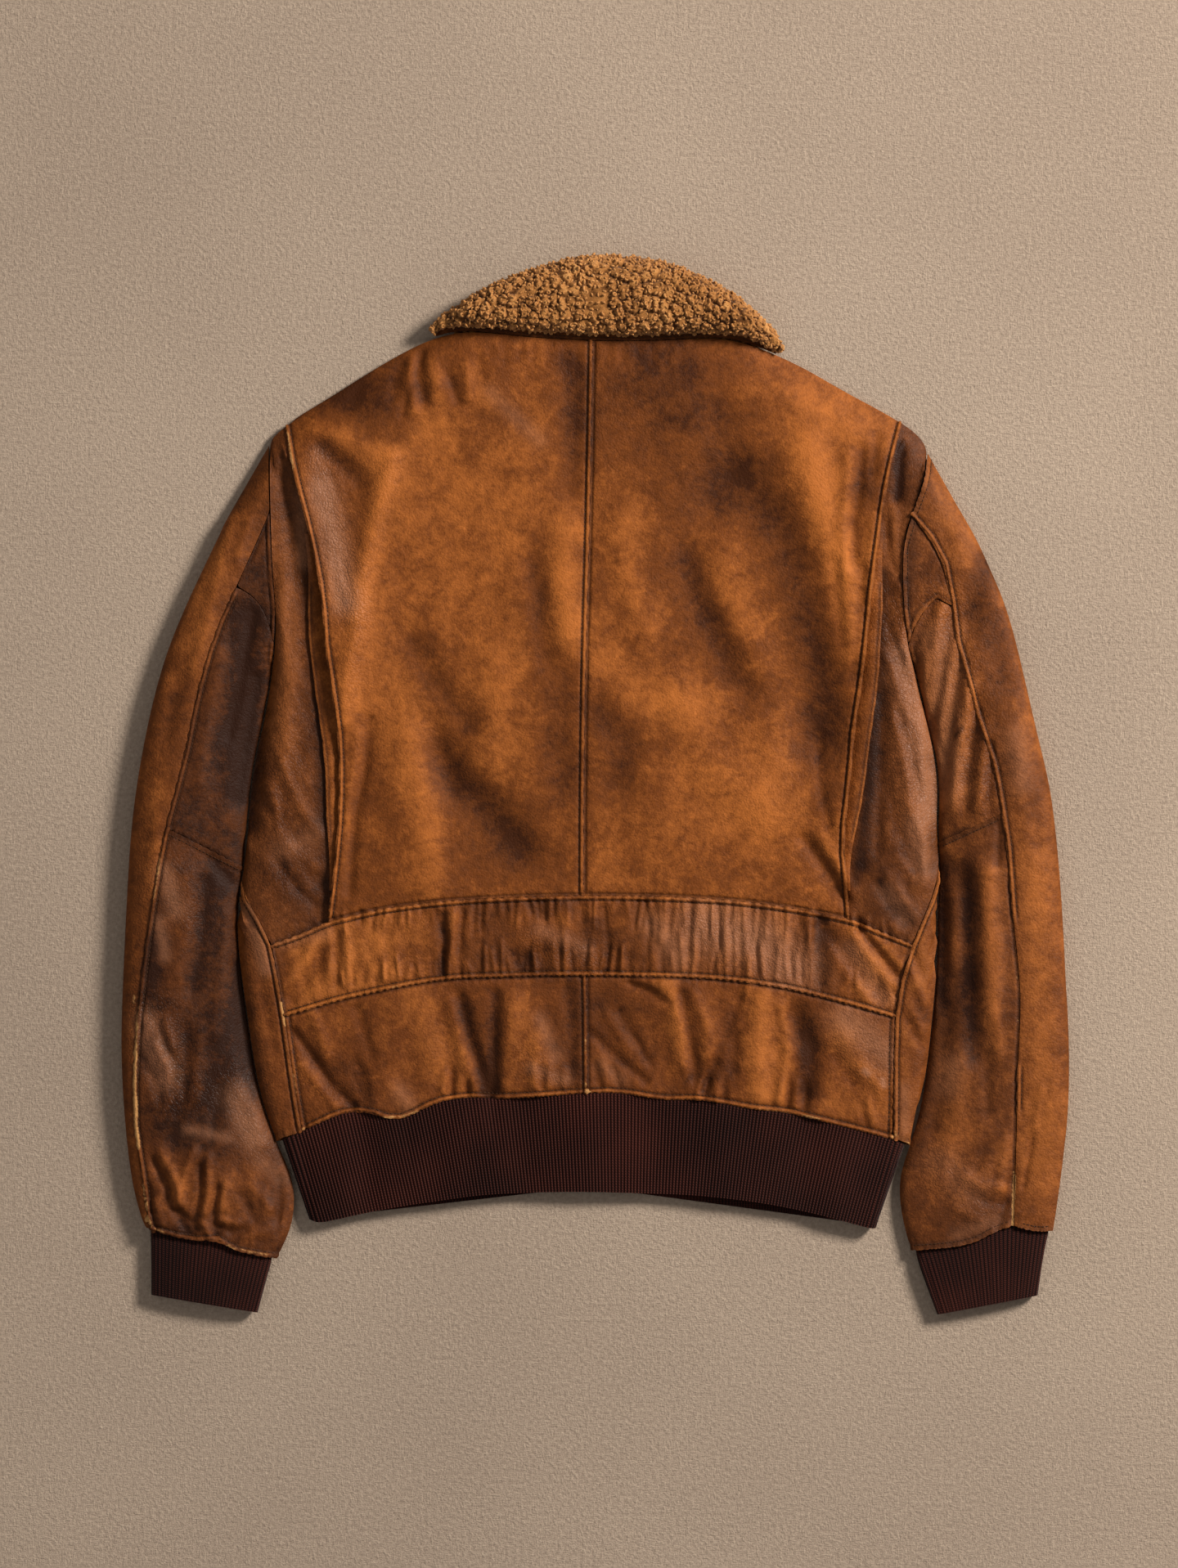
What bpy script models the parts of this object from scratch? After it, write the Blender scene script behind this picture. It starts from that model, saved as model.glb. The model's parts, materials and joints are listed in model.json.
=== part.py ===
"""A worn leather flight jacket, laid flat on its front with its back upwards.

Metres, +Z up, +X towards the jacket's right-hand edge as it lies, +Y towards the collar.
Each piece is the wall of cloth that a maker would cut. A piece of the body is drawn flat, like a
paper pattern, and then laid round the folded edge of the body. A sleeve is a flattened tube of
rings that fan out from the armhole to the cuff.
"""

import math

import bmesh
import bpy
import numpy as np
from mathutils import Vector

# Cloth
LEATHER = 0.0020
PLEAT_LEATHER = 0.0014
KNIT = 0.0026
SEAM_GAP = 0.0004
SEAM_BORDER = 0.0035
SEAM_SINK = 0.0004

# How high the laid jacket stands
BACK_HEIGHT = 0.0160
HEM_HEIGHT = 0.0125
NECK_HEIGHT = 0.0130
SHOULDER_EDGE_HEIGHT = 0.0046
EDGE_MIDDLE = 0.0065
EDGE_ROUND = 0.0160
EDGE_ROUND_UNDER = 0.0075
SHOULDER_ROUND = 0.0300
ARMHOLE_GAP = 0.0010
BESIDE_GAP = 0.0006

# Where seams cross, on the plan
ARMPIT_Y = 0.080
HEM_Y = -0.270
CENTRE_FRONT_X = -0.006
ZIP_HALF_GAP = 0.0050
ZIP_HALF_TAPE = 0.0120
FRONT_HEM_Y = -0.2330
FRONT_RIM_Y = -0.3060

LEFT, RIGHT = -1, 1
SIDE_NAMES = {LEFT: "left", RIGHT: "right"}

# Armhole seam and then the body's folded side edge, from the shoulder tip down to the hem corner
BODY_EDGE = {
    LEFT: [
        (-0.246, 0.257), (-0.246, 0.229), (-0.245, 0.198), (-0.244, 0.161), (-0.241, 0.130),
        (-0.243, 0.099), (-0.245, 0.080), (-0.251, 0.049), (-0.259, 0.012), (-0.263, -0.025),
        (-0.266, -0.062), (-0.270, -0.090), (-0.271, -0.112), (-0.268, -0.143), (-0.263, -0.177),
        (-0.258, -0.214), (-0.251, -0.245), (-0.241, -0.270),
    ],
    RIGHT: [
        (0.251, 0.251), (0.248, 0.229), (0.240, 0.207), (0.233, 0.186), (0.232, 0.161),
        (0.233, 0.133), (0.236, 0.108), (0.243, 0.080), (0.249, 0.055), (0.258, 0.018),
        (0.260, -0.007), (0.259, -0.038), (0.261, -0.062), (0.259, -0.093), (0.259, -0.124),
        (0.257, -0.162), (0.253, -0.199), (0.249, -0.230), (0.244, -0.255), (0.238, -0.273),
    ],
}
# Side seam, from the hem up to where it turns under the folded edge
SIDE_SEAM = {
    LEFT: [
        (-0.222, -0.262), (-0.225, -0.245), (-0.230, -0.211), (-0.235, -0.175), (-0.241, -0.140),
        (-0.245, -0.121), (-0.250, -0.112), (-0.258, -0.093), (-0.2655, -0.075),
    ],
    RIGHT: [
        (0.225, -0.268), (0.226, -0.242), (0.226, -0.211), (0.227, -0.176), (0.233, -0.140),
        (0.240, -0.121), (0.248, -0.096), (0.254, -0.078), (0.2590, -0.056),
    ],
}
UNDERARM_TUCK = 0.004
# Where the rows of cloth cross that seam, so that both of its panels turn at the same places
SEAM_ROWS = (
    -0.235, -0.205, -0.177, -0.148, -0.121, -0.103, -0.086, -0.072, -0.056, -0.032,
    -0.004, 0.024, 0.052, 0.080, 0.102, 0.124, 0.148, 0.172, 0.194, 0.216, 0.237,
)
# Stitched outer edge of each back panel, from the shoulder down to the belt
PLEAT_EDGE = {
    LEFT: [
        (-0.233, 0.272), (-0.229, 0.241), (-0.220, 0.207), (-0.212, 0.173), (-0.206, 0.139),
        (-0.204, 0.108), (-0.199, 0.074), (-0.194, 0.037), (-0.193, 0.006), (-0.194, -0.028),
        (-0.197, -0.062), (-0.202, -0.104),
    ],
    RIGHT: [
        (0.232, 0.274), (0.225, 0.248), (0.219, 0.220), (0.215, 0.192), (0.210, 0.155),
        (0.206, 0.117), (0.202, 0.080), (0.196, 0.043), (0.193, 0.006), (0.189, -0.025),
        (0.188, -0.056), (0.191, -0.081), (0.192, -0.102),
    ],
}
# How far the folded pleat shows beyond that edge, from the belt end up
PLEAT_SHOWS = {LEFT: (0.002, 0.010, 0.013, 0.012, 0.004), RIGHT: (0.002, 0.011, 0.013, 0.010, 0.003)}
PLEAT_FROM_Y, PLEAT_TO_Y = -0.080, 0.190
PLEAT_TUCK = 0.006
PLEAT_FLOAT = 0.0008
UNDERLAP = 0.018
CENTRE_BACK = [
    (-0.006, -0.233), (-0.007, -0.145), (-0.009, -0.084), (-0.008, 0.060), (-0.004, 0.220), (-0.002, 0.336),
]
SHOULDER_LINE = [
    (-0.246, 0.257), (-0.234, 0.270), (-0.225, 0.279), (-0.203, 0.292), (-0.172, 0.312),
    (-0.141, 0.330), (-0.124, 0.338), (-0.104, 0.343), (-0.079, 0.342), (-0.054, 0.339),
    (-0.002, 0.336), (0.045, 0.336), (0.095, 0.338), (0.118, 0.333), (0.141, 0.324),
    (0.169, 0.310), (0.188, 0.298), (0.206, 0.289), (0.232, 0.274), (0.241, 0.265), (0.251, 0.251),
]
NECK_HALF_WIDTH = 0.120
BELT_TOP = [
    (-0.245, -0.121), (-0.225, -0.114), (-0.202, -0.104), (-0.178, -0.098), (-0.153, -0.093),
    (-0.096, -0.087), (-0.009, -0.084), (0.080, -0.086), (0.139, -0.092), (0.192, -0.102),
    (0.215, -0.111), (0.240, -0.121),
]
BELT_BOTTOM = [
    (-0.235, -0.175), (-0.186, -0.161), (-0.120, -0.148), (-0.067, -0.145), (-0.007, -0.144),
    (0.080, -0.146), (0.139, -0.153), (0.189, -0.165), (0.227, -0.176),
]
HEM = [
    (-0.241, -0.270), (-0.222, -0.262), (-0.194, -0.249), (-0.173, -0.247), (-0.153, -0.253),
    (-0.138, -0.249), (-0.120, -0.240), (-0.093, -0.236), (-0.067, -0.237), (-0.006, -0.233),
    (0.020, -0.233), (0.053, -0.238), (0.080, -0.238), (0.119, -0.245), (0.146, -0.248),
    (0.179, -0.256), (0.225, -0.268), (0.238, -0.273),
]
BAND_BOTTOM = [
    (-0.2165, -0.329), (-0.207, -0.331), (-0.183, -0.326), (-0.153, -0.320), (-0.120, -0.315),
    (-0.080, -0.310), (-0.020, -0.308), (0.033, -0.309), (0.080, -0.311), (0.129, -0.317),
    (0.172, -0.326), (0.208, -0.3355), (0.213, -0.334),
]
FRONT_NECK = [
    (-0.124, 0.338), (-0.080, 0.318), (-0.040, 0.304), (-0.006, 0.300), (0.050, 0.303), (0.100, 0.312),
    (0.141, 0.324),
]

# Sleeve rings. Each is (outer reach, outer y, y on the inner edge, share of the width where the
# back seam runs). A reach is a distance from the middle of the jacket.
SLEEVE_RINGS = {
    LEFT: [
        (0.246, 0.257, 0.080, 0.290), (0.274, 0.210, 0.068, 0.335), (0.302, 0.153, 0.044, 0.330),
        (0.324, 0.102, 0.018, 0.370), (0.339, 0.046, -0.016, 0.385), (0.350, -0.019, -0.062, 0.310),
        (0.354, -0.075, -0.103, 0.250), (0.357, -0.137, -0.149, 0.170), (0.359, -0.199, -0.199, 0.115),
        (0.356, -0.254, -0.250, 0.070), (0.351, -0.298, -0.289, 0.075), (0.344, -0.326, -0.321, 0.045),
        (0.340, -0.335, -0.358, 0.045),
    ],
    RIGHT: [
        (0.251, 0.251, 0.080, 0.280), (0.274, 0.212, 0.072, 0.300), (0.296, 0.171, 0.060, 0.500),
        (0.313, 0.130, 0.041, 0.535), (0.325, 0.082, 0.018, 0.530), (0.336, 0.034, -0.010, 0.460),
        (0.345, -0.004, -0.044, 0.440), (0.351, -0.056, -0.081, 0.420), (0.3545, -0.106, -0.118, 0.400),
        (0.357, -0.158, -0.162, 0.355), (0.359, -0.211, -0.211, 0.373), (0.357, -0.261, -0.259, 0.340),
        (0.352, -0.304, -0.304, 0.280), (0.347, -0.337, -0.352, 0.280),
    ],
}
# The inner edge of the sleeve below the body's hem corner, as (reach, y)
SLEEVE_INNER_END = {
    LEFT: [
        (0.2420, -0.272), (0.2330, -0.286), (0.2285, -0.301), (0.2275, -0.317), (0.2295, -0.335),
        (0.2340, -0.347), (0.2410, -0.358),
    ],
    RIGHT: [
        (0.2385, -0.276), (0.2330, -0.286), (0.2295, -0.296), (0.2285, -0.307), (0.2310, -0.323),
        (0.2350, -0.338), (0.2390, -0.352),
    ],
}
# The cuff starts inside the sleeve's hem and comes out of it: (outer reach, outer y, inner reach, inner y)
CUFF_RINGS = {
    LEFT: [
        (0.3370, -0.3300, 0.2445, -0.3535), (0.3365, -0.3390, 0.2450, -0.3620),
        (0.3360, -0.3510, 0.2480, -0.3710), (0.3360, -0.3860, 0.2555, -0.3995),
    ],
    RIGHT: [
        (0.3438, -0.3320, 0.2425, -0.3475), (0.3430, -0.3410, 0.2430, -0.3560),
        (0.3395, -0.3540, 0.2460, -0.3660), (0.3350, -0.3865, 0.2590, -0.4010),
    ],
}
# Where the hem of each sleeve is drawn up between its corners: (share of the width, spread, depth)
SLEEVE_HEM_NOTCH = {LEFT: (0.52, 0.10, 0.0065), RIGHT: (0.33, 0.17, 0.0100)}
ELBOW_RING = {LEFT: 5, RIGHT: 6}
GUSSET_END_RING = {LEFT: 1.3, RIGHT: 1.65}
GUSSET_LOW_SHARE = 0.84
GUSSET_STOPS = (0.0, 0.32, 0.64, 0.95, 1.0)
UPPER_ROWS = {LEFT: 7, RIGHT: 8}
LOWER_ROWS = 12
SLEEVE_HEIGHTS = (0.0170, 0.0205, 0.0235, 0.0245, 0.0240, 0.0235, 0.0225, 0.0210, 0.0180, 0.0140)
CUFF_HEIGHTS = (0.0112, 0.0114, 0.0130, 0.0115)
CUFF_FLOORS = (0.0025, 0.0025, 0.0, 0.0)
CUFF_MIDDLE = 0.0068
SLEEVE_OUTER_MIDDLE = 0.0085
SLEEVE_INNER_MIDDLE = 0.0050
SLEEVE_LEAN = 0.36
CAP_BLEND = 0.14
UNDER_SEAM_SHARE = 0.60
RING_ROUND_OVER = 2.3
RING_ROUND_UNDER = 5.0

RIB_PITCH = 0.0038
RIB_RISE = 0.0008
CUFF_RIBS = 22
BAND_RIM_HEIGHT = 0.0104
BAND_MIDDLE = 0.0060
BAND_ROUND, BAND_ROUND_UNDER = 0.010, 0.006
BAND_CORNERS = (-0.2370, 0.2345)

COLLAR_TOP = [
    (-0.1240, 0.3445), (-0.119, 0.352), (-0.104, 0.362), (-0.079, 0.378), (-0.054, 0.388),
    (-0.029, 0.396), (-0.011, 0.401), (0.008, 0.4010), (0.033, 0.399), (0.057, 0.395),
    (0.076, 0.387), (0.107, 0.369), (0.129, 0.350), (0.138, 0.338), (0.1425, 0.3300),
]
COLLAR_BOTTOM = [
    (-0.1215, 0.3415), (-0.113, 0.3465), (-0.104, 0.3470), (-0.085, 0.3470), (-0.054, 0.3440),
    (-0.017, 0.3415), (0.008, 0.3405), (0.045, 0.3405), (0.088, 0.3420), (0.107, 0.3410),
    (0.122, 0.3365), (0.1385, 0.3275),
]
COLLAR_TOP_HEIGHT = 0.0300
COLLAR_END_HEIGHT = 0.0170
COLLAR_RIM = 0.0042
COLLAR_FRONT_HEIGHT = 0.0075
STAND_DEPTH = 0.0110

BELT_GATHERS = 36
BELT_GATHER_RISE = 0.0009
HEM_GATHER_RISE = 0.0010

# The main folds of the laid back: (x, y) to (x, y), half width, rise. A rise below 0 is a trough.
BODY_FOLDS = [
    ((-0.155, 0.235), (-0.188, 0.060), 0.013, 0.0030),
    ((-0.205, 0.240), (-0.178, 0.190), 0.012, -0.0016),
    ((-0.170, 0.050), (-0.186, -0.075), 0.012, -0.0026),
    ((-0.128, 0.040), (-0.080, -0.050), 0.022, -0.0022),
    ((-0.150, 0.020), (-0.150, -0.060), 0.016, 0.0018),
    ((-0.060, 0.260), (-0.030, 0.080), 0.030, 0.0016),
    ((0.090, 0.205), (0.165, 0.030), 0.020, -0.0034),
    ((0.150, 0.240), (0.178, 0.110), 0.014, 0.0026),
    ((0.070, 0.150), (0.110, 0.030), 0.020, -0.0020),
    ((0.115, 0.120), (0.140, -0.020), 0.014, 0.0020),
    ((0.160, -0.045), (0.184, -0.088), 0.009, -0.0018),
    ((0.010, 0.060), (0.060, -0.030), 0.030, 0.0018),
    ((-0.130, 0.310), (-0.140, 0.280), 0.010, 0.0016),
    ((-0.112, 0.318), (-0.116, 0.290), 0.008, -0.0012),
    ((-0.229, -0.190), (-0.195, -0.238), 0.008, -0.0022),
    ((-0.150, -0.160), (-0.165, -0.240), 0.015, 0.0022),
    ((-0.120, -0.165), (-0.098, -0.232), 0.011, -0.0024),
    ((-0.070, -0.160), (-0.045, -0.225), 0.015, 0.0018),
    ((0.010, -0.160), (0.055, -0.215), 0.009, -0.0018),
    ((0.052, -0.152), (0.085, -0.190), 0.009, 0.0024),
    ((0.090, -0.235), (0.130, -0.160), 0.012, 0.0024),
    ((0.150, -0.170), (0.135, -0.240), 0.009, -0.0024),
    ((0.205, -0.185), (0.170, -0.245), 0.014, 0.0018),
]
SLEEVE_FOLDS = {
    LEFT: [
        ((-0.262, 0.215), (-0.300, 0.090), 0.012, 0.0022),
        ((-0.268, 0.060), (-0.290, -0.040), 0.014, -0.0030),
        ((-0.320, 0.020), (-0.325, -0.090), 0.016, 0.0018),
        ((-0.345, -0.165), (-0.315, -0.215), 0.010, 0.0020),
        ((-0.280, -0.120), (-0.300, -0.230), 0.016, -0.0020),
        ((-0.262, -0.235), (-0.282, -0.285), 0.013, 0.0022),
        ((-0.336, -0.293), (-0.306, -0.335), 0.006, -0.0026),
        ((-0.306, -0.284), (-0.318, -0.330), 0.006, 0.0026),
        ((-0.296, -0.290), (-0.290, -0.338), 0.005, -0.0026),
        ((-0.284, -0.300), (-0.288, -0.342), 0.004, 0.0026),
        ((-0.262, -0.338), (-0.284, -0.336), 0.004, -0.0022),
    ],
    RIGHT: [
        ((0.292, 0.170), (0.278, 0.125), 0.012, -0.0028),
        ((0.318, 0.100), (0.302, 0.020), 0.016, -0.0020),
        ((0.322, 0.040), (0.335, -0.060), 0.016, 0.0020),
        ((0.268, 0.120), (0.252, 0.060), 0.005, 0.0024),
        ((0.276, 0.105), (0.262, 0.040), 0.005, -0.0022),
        ((0.284, 0.090), (0.268, 0.010), 0.006, 0.0026),
        ((0.292, 0.070), (0.279, -0.010), 0.005, -0.0024),
        ((0.298, 0.045), (0.288, -0.020), 0.006, 0.0024),
        ((0.268, -0.050), (0.270, -0.160), 0.010, -0.0030),
        ((0.290, -0.060), (0.292, -0.150), 0.014, 0.0024),
        ((0.262, -0.215), (0.300, -0.150), 0.008, 0.0018),
        ((0.290, -0.250), (0.292, -0.320), 0.012, 0.0020),
        ((0.316, -0.290), (0.304, -0.330), 0.006, -0.0024),
        ((0.335, -0.250), (0.322, -0.320), 0.008, -0.0016),
    ],
}

COLOURS = {
    "leather": ((0.330, 0.120, 0.032, 1.0), 0.55, 0.0),
    "dark_leather": ((0.170, 0.060, 0.022, 1.0), 0.42, 0.0),
    "knit": ((0.045, 0.014, 0.010, 1.0), 0.95, 0.0),
    "shearling": ((0.450, 0.210, 0.065, 1.0), 1.0, 0.0),
    "zip_metal": ((0.450, 0.330, 0.170, 1.0), 0.35, 1.0),
}


def clear_scene():
    for thing in list(bpy.data.objects):
        bpy.data.objects.remove(thing)


def finish_material(name):
    """One Principled material for each finish, made once."""
    found = bpy.data.materials.get(name)
    if found:
        return found
    colour, roughness, metallic = COLOURS[name]
    made = bpy.data.materials.new(name)
    made.use_nodes = True
    shader = made.node_tree.nodes["Principled BSDF"]
    shader.inputs["Base Color"].default_value = colour
    shader.inputs["Roughness"].default_value = roughness
    shader.inputs["Metallic"].default_value = metallic
    return made


def smoothstep(value):
    value = min(1.0, max(0.0, value))
    return value * value * (3 - 2 * value)


def mix(first, second, share):
    return first * (1 - share) + second * share


def smooth_line(points, per_span=10):
    """A smooth line through a few points, as close steps along a Catmull-Rom curve."""
    known = np.array(points, float)
    known = np.vstack([2 * known[0] - known[1], known, 2 * known[-1] - known[-2]])
    line = []
    for before, start, end, after in zip(known, known[1:], known[2:], known[3:]):
        for step in np.arange(per_span) / per_span:
            line.append(
                0.5 * (
                    2 * start
                    + (end - before) * step
                    + (2 * before - 5 * start + 4 * end - after) * step**2
                    + (3 * start - before - 3 * end + after) * step**3
                )
            )
    return np.array([*line, known[-2]])


def shares_of(line):
    """How far along the line each of its points is, from 0 to 1."""
    lengths = np.concatenate([[0], np.cumsum(np.linalg.norm(np.diff(line, axis=0), axis=1))])
    return lengths / lengths[-1]


def walker(line):
    """A function that gives the point at a share of the line's length."""
    shares = shares_of(line)
    return lambda share: np.array([np.interp(share, shares, line[:, k]) for k in range(line.shape[1])])


def climber(line):
    """A function that gives the point at a share of the line's height, from its low end up."""

    def point(share):
        y = mix(line[0, 1], line[-1, 1], share)
        return np.array([np.interp(y, line[:, 1], line[:, 0]), y])

    return point


def piece_of(line, axis, start, end):
    """The stretch of a line between two values of x (axis 0) or y (axis 1), in that order."""
    if line[0, axis] > line[-1, axis]:
        line = line[::-1]
    low, high = min(start, end), max(start, end)
    other = 1 - axis
    inside = line[(line[:, axis] > low) & (line[:, axis] < high)]
    ends = []
    for value in (low, high):
        point = np.zeros(2)
        point[axis] = value
        point[other] = np.interp(value, line[:, axis], line[:, other])
        ends.append(point)
    made = np.vstack([ends[0], inside, ends[1]])
    return made if start <= end else made[::-1]


def heights_along(values, share):
    """A smooth height at a share of the way along a few even stations."""
    where = min(1.0, max(0.0, share)) * (len(values) - 1)
    index = min(int(where), len(values) - 2)
    return mix(values[index], values[index + 1], smoothstep(where - index))


EDGE_LINES = {side: smooth_line(BODY_EDGE[side]) for side in (LEFT, RIGHT)}
PLEAT_LINES = {side: smooth_line(PLEAT_EDGE[side]) for side in (LEFT, RIGHT)}
SIDE_LINES = {side: smooth_line(SIDE_SEAM[side]) for side in (LEFT, RIGHT)}
SHOULDERS = smooth_line(SHOULDER_LINE)
CENTRE_LINE = smooth_line(CENTRE_BACK)
BELT_TOP_LINE = smooth_line(BELT_TOP)
BELT_BOTTOM_LINE = smooth_line(BELT_BOTTOM)
HEM_LINE = smooth_line(HEM)
FRONT_NECK_LINE = smooth_line(FRONT_NECK)


def x_on(line, y):
    if line[0, 1] > line[-1, 1]:
        line = line[::-1]
    return float(np.interp(y, line[:, 1], line[:, 0]))


def y_on(line, x):
    return float(np.interp(x, line[:, 0], line[:, 1]))


def edge_reach(side, y):
    return side * x_on(EDGE_LINES[side], y)


def pleat_reach(side, y):
    return side * x_on(PLEAT_LINES[side], y)


def fold_rise(folds, x, y):
    """What the soft folds add at a point: each is highest on its own line and dies away beside it."""
    rise = 0.0
    for start, end, half_width, height in folds:
        way = (end[0] - start[0], end[1] - start[1])
        share = ((x - start[0]) * way[0] + (y - start[1]) * way[1]) / (way[0] ** 2 + way[1] ** 2)
        share = min(1.0, max(0.0, share))
        off = math.hypot(x - start[0] - way[0] * share, y - start[1] - way[1] * share)
        if off < 3 * half_width:
            rise += height * math.exp(-((off / half_width) ** 2))
    return rise


def edge_fold(y):
    """1 where the body's side is a folded edge, falling to 0 above the armpit, where the armhole seam is."""
    return 1 - smoothstep((y - ARMPIT_Y) / 0.045)


def back_height(x, y):
    """Upper face of the laid back: level, lower at the hem and rounded down to the shoulder seam."""
    level = mix(HEM_HEIGHT, BACK_HEIGHT, smoothstep((y - HEM_Y) / 0.150))
    level += fold_rise(BODY_FOLDS, x, y) * smoothstep((y - HEM_Y + 0.010) / 0.030)
    to_neck = smoothstep((NECK_HALF_WIDTH + 0.020 - abs(x - 0.008)) / 0.035)
    low = mix(SHOULDER_EDGE_HEIGHT, NECK_HEIGHT, to_neck)
    inside = min(1.0, max(0.0, (y_on(SHOULDERS, x) - y) / SHOULDER_ROUND))
    return mix(low, level, 1 - (1 - inside) ** 2)


def turned_in(way, depth, radius):
    """How far in from a folded edge a point lies. way is its distance from the edge along the cloth,
    below 0 on the under side."""
    if abs(way) >= radius:
        return abs(way)
    return depth + (radius - depth) * (1 - math.cos(abs(way) / radius * math.pi / 2))


def turned_height(way, top, middle, depth, radius):
    """How high that point lies."""
    sine = math.sin(min(1.0, abs(way) / radius) * math.pi / 2)
    if way >= 0:
        return middle + (top - depth - middle) * sine
    return depth + (middle - depth) * (1 - sine)


def laid(side, reach, y, depth, added=0.0):
    """Lays a point of the flat pattern on the body. A reach past the folded edge goes on round it
    and back along the under side. depth is 0 on the outer face and the wall's thickness on the inner."""
    edge = edge_reach(side, y)
    fold = edge_fold(y)
    way = edge - reach
    radius = EDGE_ROUND if way >= 0 else EDGE_ROUND_UNDER
    inwards = turned_in(way, depth * fold, radius)
    top = back_height(side * (edge - inwards), y) + added
    middle = mix(top - depth, EDGE_MIDDLE, fold) if way >= 0 else mix(depth, EDGE_MIDDLE, fold)
    return Vector((side * (edge - inwards), y, turned_height(way, top, middle, depth, radius)))


def pleat_ends(side, y, low, high):
    """1 along a pleat, falling to 0 over a distance low at the belt and high at the shoulder."""
    belt_y, shoulder_y = PLEAT_EDGE[side][-1][1], PLEAT_EDGE[side][0][1]
    return smoothstep((y - belt_y) / low) * smoothstep((shoulder_y - 0.010 - y) / high)


def pleat_lift(side, y):
    """How far the stitched edge of a back panel stands off the side panel."""
    if side == LEFT:
        stands = 0.0012 + 0.0050 * math.exp(-(((y - 0.135) / 0.075) ** 2))
    else:
        stands = 0.0010 + 0.0014 * math.exp(-(((y - 0.030) / 0.100) ** 2))
    return stands * pleat_ends(side, y, 0.025, 0.040)


def pleat_drop(side, y):
    """How far the side panel lies below the general level where it runs under the back panel."""
    belt_y, shoulder_y = PLEAT_EDGE[side][-1][1], PLEAT_EDGE[side][0][1]
    deep = 0.0027 + 0.0014 * smoothstep((y - belt_y) / 0.020)
    return deep * smoothstep((shoulder_y - 0.010 - y) / 0.035)


def back_panel_rise(side, reach, y):
    inside = max(0.0, pleat_reach(side, y) - reach)
    width = 0.024 if side == LEFT else 0.014
    return pleat_lift(side, y) * math.exp(-((inside / width) ** 2))


def side_panel_rise(side, reach, y):
    outside = max(0.0, reach - pleat_reach(side, y))
    return -pleat_drop(side, y) * math.exp(-((outside / 0.020) ** 2))


def pattern(bottom, top, left, right):
    """A flat pattern piece from its four edges, as a function of two shares. Its rows keep level."""
    corners = [bottom[0], bottom[-1], top[0], top[-1]]
    bottom_at, top_at, left_at, right_at = walker(bottom), walker(top), climber(left), climber(right)

    def point(across, along):
        sides = left_at(along) * (1 - across) + right_at(along) * across
        ends = bottom_at(across) * (1 - along) + top_at(across) * along
        square = (
            corners[0] * (1 - across) * (1 - along)
            + corners[1] * across * (1 - along)
            + corners[2] * (1 - across) * along
            + corners[3] * across * along
        )
        return sides + ends - square

    return point


def even_stops(count):
    return [step / count for step in range(count + 1)]


def bordered_stops(count, width):
    """Even stops across a piece, with one more just inside each seam."""
    border = SEAM_BORDER / width
    inner = [border + (1 - 2 * border) * step / count for step in range(count + 1)]
    return [0.0, *inner, 1.0]


def inset(stops, width):
    """Draws the stops in by half a seam gap at each end."""
    gap = SEAM_GAP / 2 / width
    return [gap + (1 - 2 * gap) * stop for stop in stops]


def wall(name, finish, across, along, place, sunk=(), closed=False):
    """A piece of cloth: a grid whose points are laid by place(across, along, inner), then extruded
    to its inner face. sunk names the edges that are drawn down into a seam."""
    columns, rows = len(across) - 1, len(along) - 1
    shell = bmesh.new()
    bmesh.ops.create_grid(shell, x_segments=columns, y_segments=rows, size=0.5)
    number = shell.verts.layers.int.new("number")
    for vert in shell.verts:
        column = round((vert.co.x + 0.5) * columns)
        row = round((vert.co.y + 0.5) * rows)
        vert[number] = row * (columns + 1) + column
        vert.co = place(across[column], along[row], False)
        edges = {"left": column == 0, "right": column == columns, "bottom": row == 0, "top": row == rows}
        if any(edges[edge] for edge in sunk) and vert.co.z > BACK_HEIGHT / 3:
            vert.co.z -= SEAM_SINK
    if closed:
        bmesh.ops.remove_doubles(shell, verts=shell.verts[:], dist=1e-6)
    outer = shell.verts[:] + shell.edges[:] + shell.faces[:]
    made = bmesh.ops.extrude_face_region(shell, geom=outer, use_keep_orig=True)
    for vert in made["geom"]:
        if isinstance(vert, bmesh.types.BMVert):
            row, column = divmod(vert[number], columns + 1)
            vert.co = place(across[column], along[row], True)
    bmesh.ops.recalc_face_normals(shell, faces=shell.faces[:])
    shell.verts.layers.int.remove(number)
    mesh = bpy.data.meshes.new(name)
    shell.to_mesh(mesh)
    shell.free()
    mesh.shade_smooth()
    mesh.set_sharp_from_angle(angle=math.radians(50))
    mesh.materials.append(finish_material(finish))
    thing = bpy.data.objects.new(name, mesh)
    JACKET.objects.link(thing)
    return thing


def reach_of(side, line):
    """A plan line as (reach, y), the way the pattern of that side is drawn."""
    return np.column_stack([side * line[:, 0], line[:, 1]])


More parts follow.
